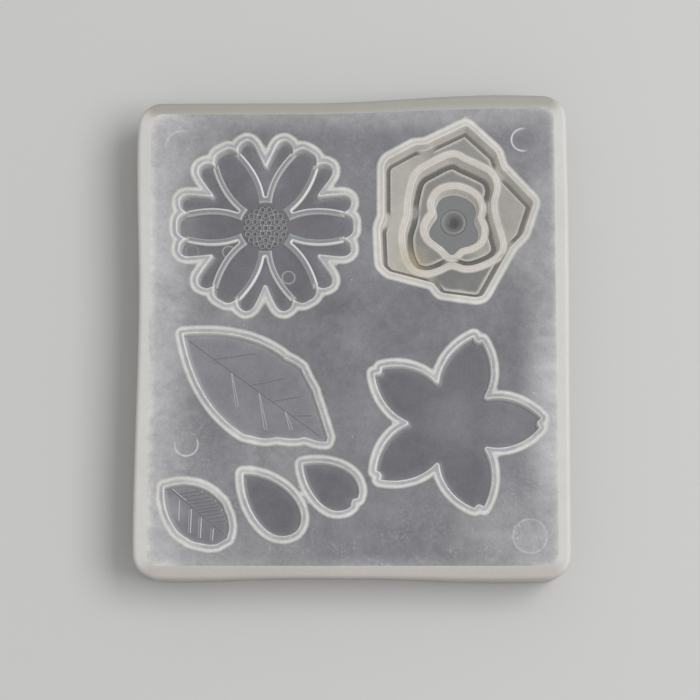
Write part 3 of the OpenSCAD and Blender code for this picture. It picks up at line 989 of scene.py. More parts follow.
class GrowTree:
    """A Geometry Nodes tree that makes a finished mesh of a piece's own lines or unit."""

    def __init__(self, name: str, inputs: dict[str, str]) -> None:
        """Starts the tree.

        Args:
            name: Name of the tree.
            inputs: Socket type of each named input beside the geometry.
        """
        self.tree = bpy.data.node_groups.new(name, "GeometryNodeTree")
        self.tree.interface.new_socket("Geometry", in_out="INPUT", socket_type="NodeSocketGeometry")
        for key, kind in {**inputs, "Finish": "NodeSocketMaterial"}.items():
            self.tree.interface.new_socket(key, in_out="INPUT", socket_type=kind)
        self.tree.interface.new_socket("Geometry", in_out="OUTPUT", socket_type="NodeSocketGeometry")
        self.board = NodeBoard(self.tree)
        self.source = self.board.add("NodeGroupInput").outputs

    def close(self, made: Socket) -> "GrowTree":
        """Makes the instances real, gives them the finish and ends the tree.

        Args:
            made: What the tree has made.

        Returns:
            This tree.
        """
        real = self.board.add("GeometryNodeRealizeInstances", {"Geometry": made}).outputs[0]
        finish = {"Geometry": real, "Material": self.source["Finish"]}
        dressed = self.board.add("GeometryNodeSetMaterial", finish)
        self.board.add("NodeGroupOutput", {"Geometry": dressed.outputs[0]})
        return self

    def grow(self, name: str, seed: Object, values: dict[str, object]) -> Object:
        """Runs the tree on an object and keeps the result as a plain mesh.

        Args:
            name: Name of the finished piece.
            seed: Object that the tree starts from. It is removed.
            values: Values of the tree's inputs, by name.

        Returns:
            The piece, linked to the scene.
        """
        modifier = seed.modifiers.new("grow", "NODES")
        modifier.node_group = self.tree
        sockets = {s.name: s.identifier for s in self.tree.interface.items_tree if s.in_out == "INPUT"}
        for key, value in values.items():
            modifier[sockets[key]] = value
        mesh = bpy.data.meshes.new_from_object(seed.evaluated_get(bpy.context.evaluated_depsgraph_get()))
        bpy.data.objects.remove(seed)
        mesh.name = name
        return link_new(name, mesh)


def turn_tree() -> GrowTree:
    """Makes the tree that turns copies of a unit evenly round a middle.

    Returns:
        The tree, with inputs Copies and Middle.
    """
    made = GrowTree("turned_copies", {"Copies": "NodeSocketInt", "Middle": "NodeSocketVector"})
    board, source = made.board, made.source
    points = board.add("GeometryNodePoints", {"Count": source["Copies"], "Position": source["Middle"]})
    number = board.add("GeometryNodeInputIndex").outputs[0]
    angle = board.math("DIVIDE", board.times(number, 2.0 * math.pi), source["Copies"])
    turn = board.add("ShaderNodeCombineXYZ", {"Z": angle}).outputs[0]
    copies = board.add("GeometryNodeInstanceOnPoints", {
        "Points": points.outputs[0], "Instance": source["Geometry"], "Rotation": turn})
    return made.close(copies.outputs[0])


def bead_tree() -> GrowTree:
    """Makes the tree that lays a round bead along lines, as wide as their own bead_m.

    Returns:
        The tree, with input Sides.
    """
    made = GrowTree("vein_beads", {"Sides": "NodeSocketInt"})
    board, source = made.board, made.source
    lines = board.add("GeometryNodeMeshToCurve", {"Mesh": source["Geometry"]}).outputs[0]
    width = board.add("GeometryNodeInputNamedAttribute", {"Name": "bead_m"}, data_type="FLOAT").outputs[0]
    ring = board.add("GeometryNodeCurvePrimitiveCircle", {"Resolution": source["Sides"], "Radius": 1.0})
    tube = board.add("GeometryNodeCurveToMesh", {
        "Curve": lines, "Profile Curve": ring.outputs[0], "Scale": width, "Fill Caps": True})
    return made.close(tube.outputs[0])


@dataclass
class MouldPlan:
    """Plan curves that more than one piece is built on.

    Attributes:
        mouths: Mouth of each cup, by node.
        sheet: Outer edge of the sheet.
    """

    mouths: dict[str, Outline]
    sheet: Outline

    def lip_distance(self, at: np.ndarray) -> np.ndarray:
        """Distance to the nearest cavity mouth."""
        return np.min([m.distance(at) for m in self.mouths.values()], axis=0)


@dataclass
class Bow:
    """How the soft moulding lies: its edges bow a little, the far one most.

    Attributes:
        inner: Half the length inside the rim along X and Y.
        wall: Thickness of the rim.
    """

    inner: Pair = (51.0, 57.5)
    wall: float = 3.1

    def far_edge(self, verts: np.ndarray) -> np.ndarray:
        """Bows the far edge of the rim and the sheet's last strip with it.

        Args:
            verts: Positions.

        Returns:
            New positions.
        """
        x, y, z = verts.T
        start = self.inner[1] - 1.1 - 9.0 * ease(44.0, self.inner[0], np.abs(x))
        share = np.clip((y - start) / (self.inner[1] + 0.7 - start), 0.0, 1.0)
        rise = wave((-54.0, -12.0, 38.0, 54.0), (0.15, 0.25, 2.4, 2.1), x)
        return np.column_stack([x, y + rise * share * share * (3.0 - 2.0 * share), z])

    def outer_faces(self, verts: np.ndarray, inset: np.ndarray) -> np.ndarray:
        """Bows the rim's near and side faces.

        Args:
            verts: Positions.
            inset: Each one's inset from the outer face. The inner edge stays where it is.

        Returns:
            New positions.
        """
        x, y, z = verts.T
        share = ease(self.wall, 0.6, inset)
        low = 1.0 - 0.6 * np.clip(z / TOP_Z, 0.0, 1.0)
        near = wave((-54.0, -42.0, -14.0, 2.0, 36.0, 54.0), (-0.3, -0.7, 0.25, 0.2, -1.0, -0.6), x)
        left = wave((-60.0, -50.0, 8.0, 48.0, 60.0), (-0.25, -0.5, 0.35, -0.5, -0.1), y)
        right = wave((-60.0, -20.0, 30.0, 60.0), (0.1, 0.25, 0.5, 0.2), y)
        side = self.inner[0], self.inner[0] + 2.0
        dx = left * ease(*side, -x) + right * ease(*side, x)
        return np.column_stack([x + share * dx, y + share * near * low * ease(-57.0, -59.2, y), z])


@dataclass
class Rim:
    """The tall outer rim.

    Attributes:
        bow: How the moulding lies.
        half: Half the outside length along X and Y.
        corner_r: Radius of the outer corners.
        lean: How far the outer face leans in on its way down.
        edge_r: Rounding of the upper edge.
        foot_r: Rounding of the lower edge.
    """

    bow: Bow
    half: Pair = (54.1, 60.6)
    corner_r: float = 6.0
    lean: float = 1.4
    edge_r: float = 1.1
    foot_r: float = 0.5

    def path(self, spacing: float = 0.8, corner_steps: int = 16) -> tuple[np.ndarray, np.ndarray]:
        """Stations along the rim.

        Args:
            spacing: Distance between neighbouring stations of a straight side.
            corner_steps: Stations in each corner.

        Returns:
            Points that lie a corner radius inside the outer face, and outward directions from them.
        """
        corners = (np.array(self.half) - self.corner_r) * ((1, 1), (-1, 1), (-1, -1), (1, -1))
        centres, angles = [], []
        for k, (here, after) in enumerate(zip(corners, np.roll(corners, -1, axis=0))):
            quarter = 0.5 * math.pi * k, 0.5 * math.pi * (k + 1)
            angles += np.linspace(*quarter, corner_steps, endpoint=False).tolist()
            centres += [here] * corner_steps
            count = int(np.hypot(*(after - here)) / spacing)
            centres += [here + (after - here) * t for t in np.linspace(0.0, 1.0, count, endpoint=False)]
            angles += [quarter[1]] * count
        return np.array(centres), np.column_stack([np.cos(angles), np.sin(angles)])

    def profile(self) -> list[Pair]:
        """Draws the wall's section.

        Returns:
            Inset from the outer face and height of each point, in order.
        """
        slope, wall = self.lean / TOP_Z, self.bow.wall
        points: list[Pair] = [(inset, TOP_Z) for inset in (wall, 2.6, 2.0, 1.5)]
        for t in np.linspace(0.0, 0.5 * math.pi, 8):
            inset = self.edge_r * (1.0 - math.sin(t)) + slope * self.edge_r * math.sin(t)
            points.append((inset, TOP_Z - self.edge_r * (1.0 - math.cos(t))))
        points += [(slope * (TOP_Z - z), z) for z in (11.5, 9.0, 6.5, 4.0, 2.0, 1.0)]
        for t in np.linspace(0.0, 0.5 * math.pi, 5):
            inset = self.lean - 0.04 + self.foot_r * (1.0 - math.cos(t))
            points.append((inset, self.foot_r * (1.0 - math.sin(t))))
        points += [(wall - 0.25, 0.0), (wall - 0.07, 0.07), (wall, 0.25), (wall, 6.0)]
        return points + [(wall, SHEET_UNDER_Z)]

    def build(self) -> None:
        """Sweeps the section round the rim."""
        centres, outward = self.path()
        section = self.profile()
        n, m = len(centres), len(section)
        verts = np.concatenate([
            np.column_stack([centres + outward * (self.corner_r - i), np.full(n, z)]) for i, z in section])
        inset = np.repeat([i for i, _ in section], n)
        faces = [(a * n + k, (a + 1) % m * n + k, (a + 1) % m * n + (k + 1) % n, a * n + (k + 1) % n)
                 for a in range(m) for k in range(n)]
        x, y, level = verts.T
        # Painted shade along the far and near ends and on the outer face; the sides keep the painted light
        ends = ease(53.8, 50.0, np.abs(x))
        outer = ease(0.35, 0.05, inset - self.lean * (1.0 - level / TOP_Z)) * ease(14.6, 13.4, level)
        fields = {"far": ends * ease(55.5, 58.5, y), "near": ends * ease(-55.5, -58.5, y), "outer": outer}
        data = PlateMesh(self.bow.far_edge(self.bow.outer_faces(verts, inset)), faces, fields)
        finish = RimFinish("rim_silicone", gloss=0.4, cloud=CALM, grain=0.1, specks=0.15)
        data.dress("rim_skirt", "silicone_rim", finish.build(), sharp=50.0)


@dataclass(frozen=True)
class ToolMark:
    """A round mark on the sheet.

    Attributes:
        at: Its middle.
        r: Its radius.
        glint_at: Direction of the painted highlight on its edge, in degrees.
        glint_half: Half the width of that part, in degrees.
        glint: How strongly the painted highlight shows.
        frost: How frosted its face is.
    """

    at: Pair
    r: float
    glint_at: float
    glint_half: float
    glint: float
    frost: float = 0.0

    def build(self, fields_at: Callable[[np.ndarray], Fields]) -> PlateMesh:
        """Builds the mark as a thin disc with a low edge.

        Args:
            fields_at: The sheet's fields at plan points.

        Returns:
            The closed mesh with the sheet's fields.
        """
        relief = ReliefPlan({"from_edge": lambda p: self.r - reach(p, self.at)})
        relief.border(circle(self.at, self.r))
        for inset in (0.06, 0.14, 0.25, 0.4, 0.6, 0.9, 1.6, 2.4):
            relief.add(circle(self.at, self.r - inset, 48))
        relief.add(np.array([self.at]))
        crown = lambda p, f: TOP_Z + 0.02 + 0.03 * bell(0.25, 0.16, f["from_edge"])
        part = relief.solid(crown, TOP_Z - 0.02)
        # A painted highlight on part of the mark's edge
        off = np.abs((heading(part.plan, self.at) - self.glint_at + 180.0) % 360.0 - 180.0)
        line = bell(0.28, 0.2, part.fields["from_edge"]) * ease(self.glint_half, self.glint_half - 40.0, off)
        part.fields = fields_at(part.plan)
        part.fields["glint"] = self.glint * line
        part.fields["frost"] = part.fields["frost"] + self.frost
        part.fields["haze"] = np.clip(part.fields["haze"] + 0.1 * self.frost, 0.0, 1.0)
        return part


@dataclass
class Sheet:
    """The thin sheet between the cups, and the round tool marks on it.

    Attributes:
        bow: How the moulding lies.
        plan: The mould's plan.
        marks: The round marks.
        patches: Milky patches, or clear ones below 0: middle, radius and strength.
        frosted: Frosted patches: middle, radius and strength.
    """

    bow: Bow
    plan: MouldPlan
    marks: tuple[ToolMark, ...] = (
        ToolMark((-43.1, 49.1), 4.5, 128.0, 72.0, 0.5),
        ToolMark((43.9, -50.1), 4.5, 180.0, 220.0, 0.35, 0.9),
        ToolMark((43.1, 51.0), 3.2, 185.0, 115.0, 0.95),
        ToolMark((-41.4, -27.1), 3.2, -80.0, 125.0, 0.85, 0.3))
    patches: Rows = (
        (-36, 54, 9, 0.2), (38, -51, 15, 0.48), (-15, -30, 10, 0.33), (-31, -34, 10, 0.1), (0, -1, 6, 0.14),
        (2, 44, 14, 0.1), (-22, -56, 12, 0.3), (4, 22, 9, 0.08), (-5, 8, 5, -0.14), (0, -20, 9, 0.08),
        (-30, 5, 9, 0.3), (41, 22, 7, 0.5), (47, 33, 6, 0.25), (39, 44, 4, 0.22), (-33, 50, 4, 0.4),
        (-37, -55, 7, 0.28), (49, -37, 7, -0.5), (33, -57, 7, -0.3), (46, 57, 5, -0.3))
    frosted: Rows = (
        (34, -53, 11, 0.8), (20, -55, 7, 0.4), (-48, 20, 14, 0.3), (-40, 50, 12, 0.5), (-20, -55, 20, 0.6),
        (5, -56, 10, 0.45), (48, 40, 12, 0.45), (-44, -30, 10, 0.5), (44, -36, 8, 0.4), (3, 46, 10, 0.25))

    def haze(self, at: np.ndarray) -> np.ndarray:
        """How milky the sheet looks.

        Args:
            at: Plan points.

        Returns:
            Milkiness from 0 to 1: high along the rim, with soft patches.
        """
        x, y = at.T
        clear = 0.88 - 0.86 * ease(-34.0, -51.0, x)
        right = wave((-50.0, -30.0, -8.0, 14.0, 34.0, 46.0), (0.66, 0.94, 0.95, 0.48, 0.6, 0.25), y)
        clear *= 1.0 - right * ease(40.0, 50.0, x)
        clear *= (1.0 - 0.5 * ease(50.5, 58.0, y)) * (1.0 - 0.3 * ease(-54.3, -57.6, y))
        for px, py, r, amount in self.patches:
            clear *= 1.0 - amount * spot(at, px, py, r)
        return np.clip(1.0 - clear, 0.0, 1.0)

    def fields_at(self, at: np.ndarray) -> Fields:
        """Point fields of the sheet's finish.

        Args:
            at: Plan points.

        Returns:
            The fields by name.
        """
        x, from_rim = at[:, 0], -self.plan.sheet.distance(at)
        # Painted light: the sheet pales into the rim's pale sides at the left and right
        side = 0.92 * ease(-40.0, -50.0, x) * ease(2.2, 0.0, from_rim)
        side += 0.6 * ease(42.0, 50.0, x) * ease(1.2, 0.0, from_rim)
        frost = sum(strength * spot(at, px, py, r) for px, py, r, strength in self.frosted)
        return {"haze": self.haze(at), "lip_mm": self.plan.lip_distance(at), "rim_glow": side,
                "glint": np.zeros(len(at)), "frost": 0.08 + np.clip(frost, 0.0, 0.9)}

    def build(self) -> None:
        """Builds the sheet and its marks."""
        loops = plan_curves("top_sheet")
        relief = ReliefPlan({})
        for loop in loops:
            relief.border(evenly(loop, 0.5))
        _, _, points = grid(self.plan.sheet.low + 0.4, self.plan.sheet.high - 0.3, 0.8)
        points = points[relief.inside(points)]
        room = np.min([np.abs(Outline(loop).distance(points)) for loop in loops], axis=0)
        relief.add(points[room > 0.35])
        data = relief.solid(lambda p, f: np.full(len(p), TOP_Z), SHEET_UNDER_Z)
        data.fields = self.fields_at(data.plan)
        data.verts = self.bow.far_edge(data.verts)
        finish = SheetFinish("sheet_silicone", gloss=0.46, cloud=0.7, grain=0.3, specks=0.5)
        material = finish.build()
        data.dress("top_sheet", "silicone_sheet", material)
        parts = [mark.build(self.fields_at) for mark in self.marks]
        starts = np.cumsum([0] + [len(p.verts) for p in parts])
        faces = [tuple(i + int(s) for i in f) for p, s in zip(parts, starts) for f in p.faces]
        fields = {k: np.concatenate([p.fields[k] for p in parts]) for k in parts[0].fields}
        marks = PlateMesh(np.vstack([p.verts for p in parts]), faces, fields)
        marks.dress("tool_marks", "silicone_sheet", material)


@dataclass
class Cup:
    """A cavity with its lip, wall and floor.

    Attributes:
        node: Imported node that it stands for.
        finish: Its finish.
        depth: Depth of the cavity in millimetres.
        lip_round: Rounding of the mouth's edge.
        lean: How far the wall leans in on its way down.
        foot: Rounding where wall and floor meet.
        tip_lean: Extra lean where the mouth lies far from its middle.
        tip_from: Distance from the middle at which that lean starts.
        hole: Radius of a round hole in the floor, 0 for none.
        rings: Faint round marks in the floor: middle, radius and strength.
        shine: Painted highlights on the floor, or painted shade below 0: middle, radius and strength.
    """

    node: str
    finish: CupFinish
    depth: float = SHALLOW_DEPTH
    lip_round: float = 0.3
    lean: float = 0.28
    foot: float = 0.25
    tip_lean: float = 0.0
    tip_from: float = 0.0
    hole: float = 0.0
    rings: Rows = ()
    shine: Rows = ()

    @property
    def floor_z(self) -> float:
        """Height of the cavity's floor."""
        return TOP_Z - self.depth

    def height(self, d: np.ndarray, lean: np.ndarray) -> np.ndarray:
        """Height of lip, wall and floor.

        Args:
            d: Signed distance from the mouth, positive on the lip.
            lean: Lean of the wall at each place.

        Returns:
            Height in millimetres.
        """
        floor, r = self.floor_z, self.lip_round
        edge = TOP_Z - r + rounded(d, r)
        wall = TOP_Z - r + np.clip(-d / lean, 0.0, 1.0) * (floor + self.foot - TOP_Z + r)
        foot = floor + self.foot * (1.0 - np.clip((-d - lean) / (1.6 * self.foot), 0.0, 1.0)) ** 2
        return np.where(d >= 0, edge, np.where(-d < lean, wall, foot))

    def build(self, mouth: Outline) -> None:
        """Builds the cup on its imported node's plan.

        Args:
            mouth: The cavity's mouth.
        """
        from_middle = lambda p: reach(p, mouth.middle)
        tips = self.tip_from, self.tip_from + 2.5
        lean = lambda p: self.lean + self.tip_lean * ease(*tips, from_middle(p))
        extra = lambda p: lean(p) - self.lean
        relief = ReliefPlan({"mouth_mm": mouth.distance, "foot_mm": lambda p: mouth.distance(p) + extra(p)})
        relief.border(evenly(plan_curves(self.node)[0], 0.5))
        if self.hole:
            relief.border(circle(mouth.middle, self.hole))
        relief.guides(mouth.offsets(LIP_LEVELS), "mouth_mm")
        walls = tuple(-self.lean - k for k in (0.0, 0.14, 0.3, 0.65, 1.1))
        relief.guides(mouth.offsets(walls, shift=extra), "foot_mm")
        cell, margin = (0.45, 0.5) if self.tip_lean else (1.1, 1.6)
        _, _, points = grid(mouth.low, mouth.high, cell)
        clear = from_middle(points) > (self.hole + 0.2 if self.hole else 0.0)
        relief.add(points[clear & (mouth.distance(points) < -margin)])
        for x, y, r, _ in self.rings:
            for off in (-0.2, -0.08, 0.08, 0.2):
                relief.add(circle((x, y), r + off, 40))
        data = relief.solid(lambda p, f: self.height(f["mouth_mm"], lean(p)), self.floor_z - FLOOR_T)
        d, wide = data.fields["mouth_mm"], lean(data.plan)
        # Painted light: the walls that lean more than the others are painted pale
        pale = ease(-wide - 0.2, -wide + 0.05, d) * (d < -0.1) * ease(0.05, 0.25, wide - self.lean)
        for x, y, r, strength in self.rings:
            ring = bell(r, 0.13, reach(data.plan, (x, y))) * (d < -0.6)
            data.verts[:, 2] += 0.06 * ring * (data.verts[:, 2] > self.floor_z - 0.1)
            pale = np.maximum(pale, strength * ring)
        shine = np.zeros(len(d))
        for x, y, r, strength in self.shine:
            shine += ease(-0.2, -0.6, d) * strength * spot(data.plan, x, y, r)
        under = data.verts[:, 2] < self.floor_z - 0.5 * FLOOR_T
        d[under], pale[under], shine[under] = UNDER_MM, 0.0, 0.0
        data.fields |= {"pale": pale, "shine": shine}
        data.dress(self.node, "silicone_cup", self.finish.build())


@dataclass
class Daisy:
    """What stands in the daisy's cavity: six ridges and the seed disc.

    Attributes:
        mouth: The daisy's mouth.
        depth: Depth of the cavity.
        ridge_h: Height of the ridges.
        ridge_w: Width of the ridges.
        foot_r: Distance from the middle up to which two ridges are one.
        seed_r: Radius of the seed disc.
        pitch: Distance between neighbouring circles of dimples.
        dimple_r: Radius of a dimple.
        drawn_w: Width of the daisy that the petals' sizes are given for.
        under_mm: Where on the dimples' bands the disc's underside takes its tone.
    """

    mouth: Outline
    depth: float = 3.2
    ridge_h: float = 2.0
    ridge_w: float = 1.6
    foot_r: float = 7.9
    seed_r: float = 5.6
    pitch: float = 1.6
    dimple_r: float = 0.72
    drawn_w: float = 45.0
    under_mm: float = 0.58

    @property
    def floor_z(self) -> float:
        """Height of the cavity's floor."""
        return TOP_Z - self.depth

    def petal(self, angle: float) -> Outline:
        """One large petal's floor, round the daisy's middle.

        Args:
            angle: Direction of the petal.

        Returns:
            Its outline.
        """
        t = np.linspace(0.0, 1.0, 40)[:, None]
        near, bulge, far = np.array([6.0, 1.6]), np.array([12.6, 4.9]), np.array([21.8, 1.9])
        side = (1 - t) ** 2 * near + 2 * t * (1 - t) * bulge + t * t * far
        wide = (self.mouth.high - self.mouth.low)[0]
        side = np.vstack([[(4.2, 0.6)], side, [(23.5, 1.6)]]) * wide / self.drawn_w
        turn = np.array([[math.cos(angle), math.sin(angle)], [-math.sin(angle), math.cos(angle)]])
        return Outline(np.vstack([side, side[::-1] * (1.0, -1.0)]) @ turn)

    def build(self) -> None:
        """Builds one V of ridges and turns it into six, then the seed disc."""
        loops = [c - self.mouth.middle for c in plan_curves("daisy_ridges")]
        edge = max(loops, key=lambda c: c[:, 1].mean())
        petals = [self.petal(math.pi / 3.0), self.petal(2.0 * math.pi / 3.0)]
        xs, ys, at = grid((-9.0, 3.0), (9.0, 21.5), 0.15)
        gaps = [p.distance(at) - self.ridge_w for p in petals] + [np.hypot(*at.T) - self.foot_r]
        vee = Outline(max(level_curves(np.min(gaps, axis=0).reshape(len(ys), len(xs)), xs, ys), key=len))
        ridge = Outline(edge)
        relief = ReliefPlan({"edge_mm": ridge.distance, "vee_mm": vee.distance})
        relief.border(evenly(edge, 0.3), "edge_mm")
        relief.guides(ridge.offsets((-0.1, -0.2, -0.32, -0.5), 0.3, 0.12), "edge_mm")
        top_z = self.floor_z + self.ridge_h
        crown = lambda p, f: top_z - 0.55 * np.clip(1.0 + f["edge_mm"] / 0.5, 0.0, 1.0) ** 2
        finish = RidgeFinish("daisy_ridge_silicone", cloud=CALM).build()
        data = relief.solid(crown, self.floor_z - 0.05)
        data.fields["low"] = ease(self.floor_z + 1.2, self.floor_z, data.verts[:, 2])
        unit = data.to_object("daisy_ridge_unit", finish)
        values = {"Copies": 6, "Middle": (*(self.mouth.middle * MM).tolist(), 0.0), "Finish": finish}
        ridges = turn_tree().grow("daisy_ridges_dressed", unit, values)
        hand_over(ridges, "daisy_ridges")
        self.build_disc()

    def build_disc(self) -> None:
        """Builds the seed disc with dimples in circles, each inside a low bead."""
        middle = self.mouth.middle
        circles = int((self.seed_r - self.dimple_r) / self.pitch)
        rings = [circle(middle, c * self.pitch, 6 * c) for c in range(1, circles + 1)]
        seeds = np.vstack([middle[None, :], *rings])
        nearest = lambda p: np.hypot(*(p[:, None, :] - seeds).transpose(2, 0, 1)).min(1)
        relief = ReliefPlan({"seed_mm": nearest})
        relief.border(circle(middle, self.seed_r, 96))
        for seed in seeds:
            for r in (0.25, 0.45, 0.58, 0.66, 0.74):
                relief.add(circle(seed, r, 14))
        relief.add(seeds)

        def height(p: np.ndarray, f: Fields) -> np.ndarray:
            """A round dimple with a bead round it."""
            d = f["seed_mm"]
            return self.floor_z - 0.3 * np.clip(1.0 - (d / 0.6) ** 2, 0.0, 1.0) + 0.12 * bell(0.66, 0.12, d)

        finish = SeedFinish("daisy_seed_silicone", gloss=GLOSSY, cloud=CALM)
        data = relief.solid(height, self.floor_z - FLOOR_T)
        data.fields["seed_mm"][data.verts[:, 2] < self.floor_z - 0.5 * FLOOR_T] = self.under_mm
        data.dress("daisy_seed_disc", "silicone_relief", finish.build(), sharp=60.0)


@dataclass
class RoseStep:
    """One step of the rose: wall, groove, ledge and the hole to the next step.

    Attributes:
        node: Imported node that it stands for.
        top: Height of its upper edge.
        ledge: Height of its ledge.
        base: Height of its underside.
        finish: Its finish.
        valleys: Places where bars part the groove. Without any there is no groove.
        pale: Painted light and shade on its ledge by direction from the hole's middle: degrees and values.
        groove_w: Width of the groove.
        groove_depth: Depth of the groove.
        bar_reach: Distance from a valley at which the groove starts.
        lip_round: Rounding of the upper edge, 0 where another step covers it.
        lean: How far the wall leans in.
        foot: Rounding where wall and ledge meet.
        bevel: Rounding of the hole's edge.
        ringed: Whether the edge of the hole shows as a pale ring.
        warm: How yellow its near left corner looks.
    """

    node: str
    top: float
    ledge: float
    base: float
    finish: RoseFinish
    valleys: tuple[Pair, ...] = ()
    pale: Rows = ((-180.0, 180.0), (0.4, 0.4))
    groove_w: float = 1.4
    groove_depth: float = 0.7
    bar_reach: float = 2.1
    lip_round: float = 0.3
    lean: float = 0.3
    foot: float = 0.2
    bevel: float = 0.28
    ringed: bool = True
    warm: float = 0.6

    def open_groove(self, at: np.ndarray) -> np.ndarray:
        """Finds where no bar stops the groove.

        Args:
            at: Plan points.

        Returns:
            How open the groove is at each one, 0 to 1.
        """
        if not self.valleys:
            return np.zeros(len(at))
        near = np.min([reach(at, valley) for valley in self.valleys], axis=0)
        return ease(self.bar_reach - 0.7, self.bar_reach + 0.9, near)

    def height(self, at: np.ndarray, f: Fields) -> np.ndarray:
        """Height of the step's upper face.

        Args:
            at: Plan points.
            f: Their distances from the two mouths.

        Returns:
            Height in millimetres.
        """
        d, r, w = f["mouth_mm"], max(self.lip_round, 1e-3), self.groove_w
        edge = self.top - r + rounded(d, r)
        wall = self.top - r + np.clip(-d / self.lean, 0.0, 1.0) * (self.ledge + self.foot - self.top + r)
        flat = self.ledge + self.foot * (1.0 - np.clip((-d - self.lean) / (1.5 * self.foot), 0.0, 1.0)) ** 2
        across = ease(-self.lean - 0.02, -self.lean - 0.22, d) * ease(-w - 0.12, -w + 0.14, d)
        fall = self.bevel - rounded(f["hole_mm"], self.bevel)
        flat = flat - self.groove_depth * across * self.open_groove(at) - fall
        return np.where(d >= 0, edge, np.where(-d < self.lean, wall, flat))

    def build(self, mouth: Outline, hole: Outline, outer: np.ndarray) -> None:
        """Builds the step.

        Args:
            mouth: Its own mouth.
            hole: The next step's mouth, or the bud ring's edge.
            outer: Outer edge of its wall.
        """
        relief = ReliefPlan({"mouth_mm": mouth.distance, "hole_mm": hole.distance})
        relief.border(evenly(outer, 0.45))
        relief.border(evenly(hole.points, 0.3), "hole_mm")
        w, lean = self.groove_w, self.lean
        levels = (*LIP_LEVELS, -0.5 * lean, -lean, -lean - 0.12, -lean - 0.25,
                  -0.5 * w - 0.1, -w + 0.16, -w + 0.02, -w - 0.14, -w - 0.32, -w - 0.6)
        relief.guides(mouth.offsets(levels), "mouth_mm", lambda p: hole.distance(p) > 0.12)
        near_hole = hole.offsets((0.1, 0.2, 0.3, 0.5, 0.75, 1.1, 1.5, 1.8, 2.3))
        relief.guides(near_hole, "hole_mm", lambda p: mouth.distance(p) < -lean - 0.05)
        _, _, points = grid(mouth.low, mouth.high, 0.5)
        relief.add(points[(mouth.distance(points) < -0.7) & (hole.distance(points) > 0.4)])
        data = relief.solid(self.height, self.base)
        d, opened = data.fields["mouth_mm"], self.open_groove(data.plan)
        # Painted highlight along the groove's inner edge, and painted shade in the groove
        line = ease(-w + 0.1, -w - 0.12, d) * ease(-w - 0.95, -w - 0.4, d) * opened
        data.fields["groove"] = ease(-0.25 * w, -0.4 * w, d) * ease(-w - 0.1, -w + 0.1, d) * opened
        data.fields["pale"] = np.maximum(np.interp(heading(data.plan, hole.middle), *self.pale), 0.95 * line)
        data.fields["warm"] = 0.75 * self.warm * spot(data.plan, 14.5, 21.0, 4.0)
        if not self.ringed:
            data.fields["hole_mm"] = np.full(len(d), FAR_MM)
        data.dress(self.node, "silicone_rose", self.finish.build())


@dataclass
class Rose:
    """The stepped rose: three nested steps and the bud ring in the floor.

    Attributes:
        outer_valleys: Where the outer petals meet.
        middle_valleys: Where the middle petals meet.
        outer_pale: Painted light and shade on the outer ledge by direction, petal by petal.
        bud: Middle of the bud ring.
        bud_ring_r: Radius of the bud ring.
    """

    outer_valleys: tuple[Pair, ...] = (
        (37.44, 43.57), (39.64, 23.35), (20.25, 13.96), (8.06, 31.08), (18.55, 49.69))
    middle_valleys: tuple[Pair, ...] = ((34.95, 35.58), (24.76, 20.17), (14.77, 34.18))
    outer_pale: Rows = (
        (-180.0, -114.0, -102.0, -38.0, -26.0, 42.0, 52.0, 108.0, 118.0, 180.0),
        (0.78, 0.74, 0.06, 0.08, 0.6, 0.6, 0.32, 0.32, 0.7, 0.78))
    bud: Pair = (25.69, 32.53)
    bud_ring_r: float = 3.3

    def build(self) -> None:
        """Builds the steps from the outside in, then the bud ring."""
        steps = [plan_curves(f"rose_{name}_cup") for name in ("outer", "middle", "inner")]
        first, second, third = (Outline(curves[1]) for curves in steps)
        ring = Outline(circle(self.bud, self.bud_ring_r, 64))
        outer = RoseFinish("rose_outer_silicone", scuffs=0.06)
        RoseStep("rose_outer_cup", TOP_Z, 10.6, 8.8, outer, self.outer_valleys, self.outer_pale).build(
            first, second, steps[0][0])
        deep = RoseFinish("rose_middle_silicone", groove=tone(104, 101, 99))
        # Painted light on the middle ledge by direction
        lit = (-180.0, -75.0, -45.0, -15.0, 180.0), (0.22, 0.22, 0.6, 0.22, 0.22)
        RoseStep("rose_middle_cup", 8.8, 6.2, 4.4, deep, self.middle_valleys, lit, groove_w=1.9,
                 lip_round=0.0, warm=1.0).build(second, third, steps[1][0])
        floor = RoseFinish("rose_inner_silicone", ledge=tone(125, 127, 128), cloud=CALM)
        even = (-180.0, 180.0), (0.0, 0.0)
        RoseStep("rose_inner_cup", 4.4, FLOOR_T, 0.0, floor, pale=even, lip_round=0.0, ringed=False,
                 warm=0.0).build(third, ring, steps[2][0])
        self.build_bud(ring)

    def build_bud(self, ring: Outline) -> None:
        """Builds the bud ring and its dimple.

        Args:
            ring: The ring's outer edge.
        """
        relief = ReliefPlan({"r_mm": lambda p: reach(p, self.bud)})
        relief.border(ring.points)
        for r in (3.1, 2.95, 2.8, 2.6, 2.45, 2.2, 1.9, 1.6, 1.2, 0.8, 0.4):
            relief.add(circle(self.bud, r, 56))
        relief.add(np.array([self.bud]))
        crown = lambda p, f: FLOOR_T + 0.35 * bell(2.75, 0.22, f["r_mm"]) - 0.7 * ease(2.4, 0.9, f["r_mm"])
        data = relief.solid(crown, 0.0)
        r = data.fields["r_mm"]
        # Painted shade in the bud's dimple and a painted highlight on its ring's crest
        data.fields |= {"groove": ease(2.2, 0.7, r), "pale": 0.5 * bell(2.8, 0.25, r), "warm": 0.0 * r,
                        "hole_mm": np.full(len(r), FAR_MM), "mouth_mm": np.full(len(r), LEDGE_MM)}
        finish = RoseFinish("rose_bud_silicone", ledge=tone(120, 121, 122),
                            groove=tone(82, 82, 85), cloud=CALM)
        data.dress("rose_bud_ring", "silicone_rose", finish.build())


class VeinKind(Enum):
    """How a leaf vein reads."""

    DARK = "a fine dark line"
    PALE = "a fine pale line"
    LOOP = "a narrow pale loop that opens away from the midrib"
    DOUBLE = "a pale line with a fainter one beside it"


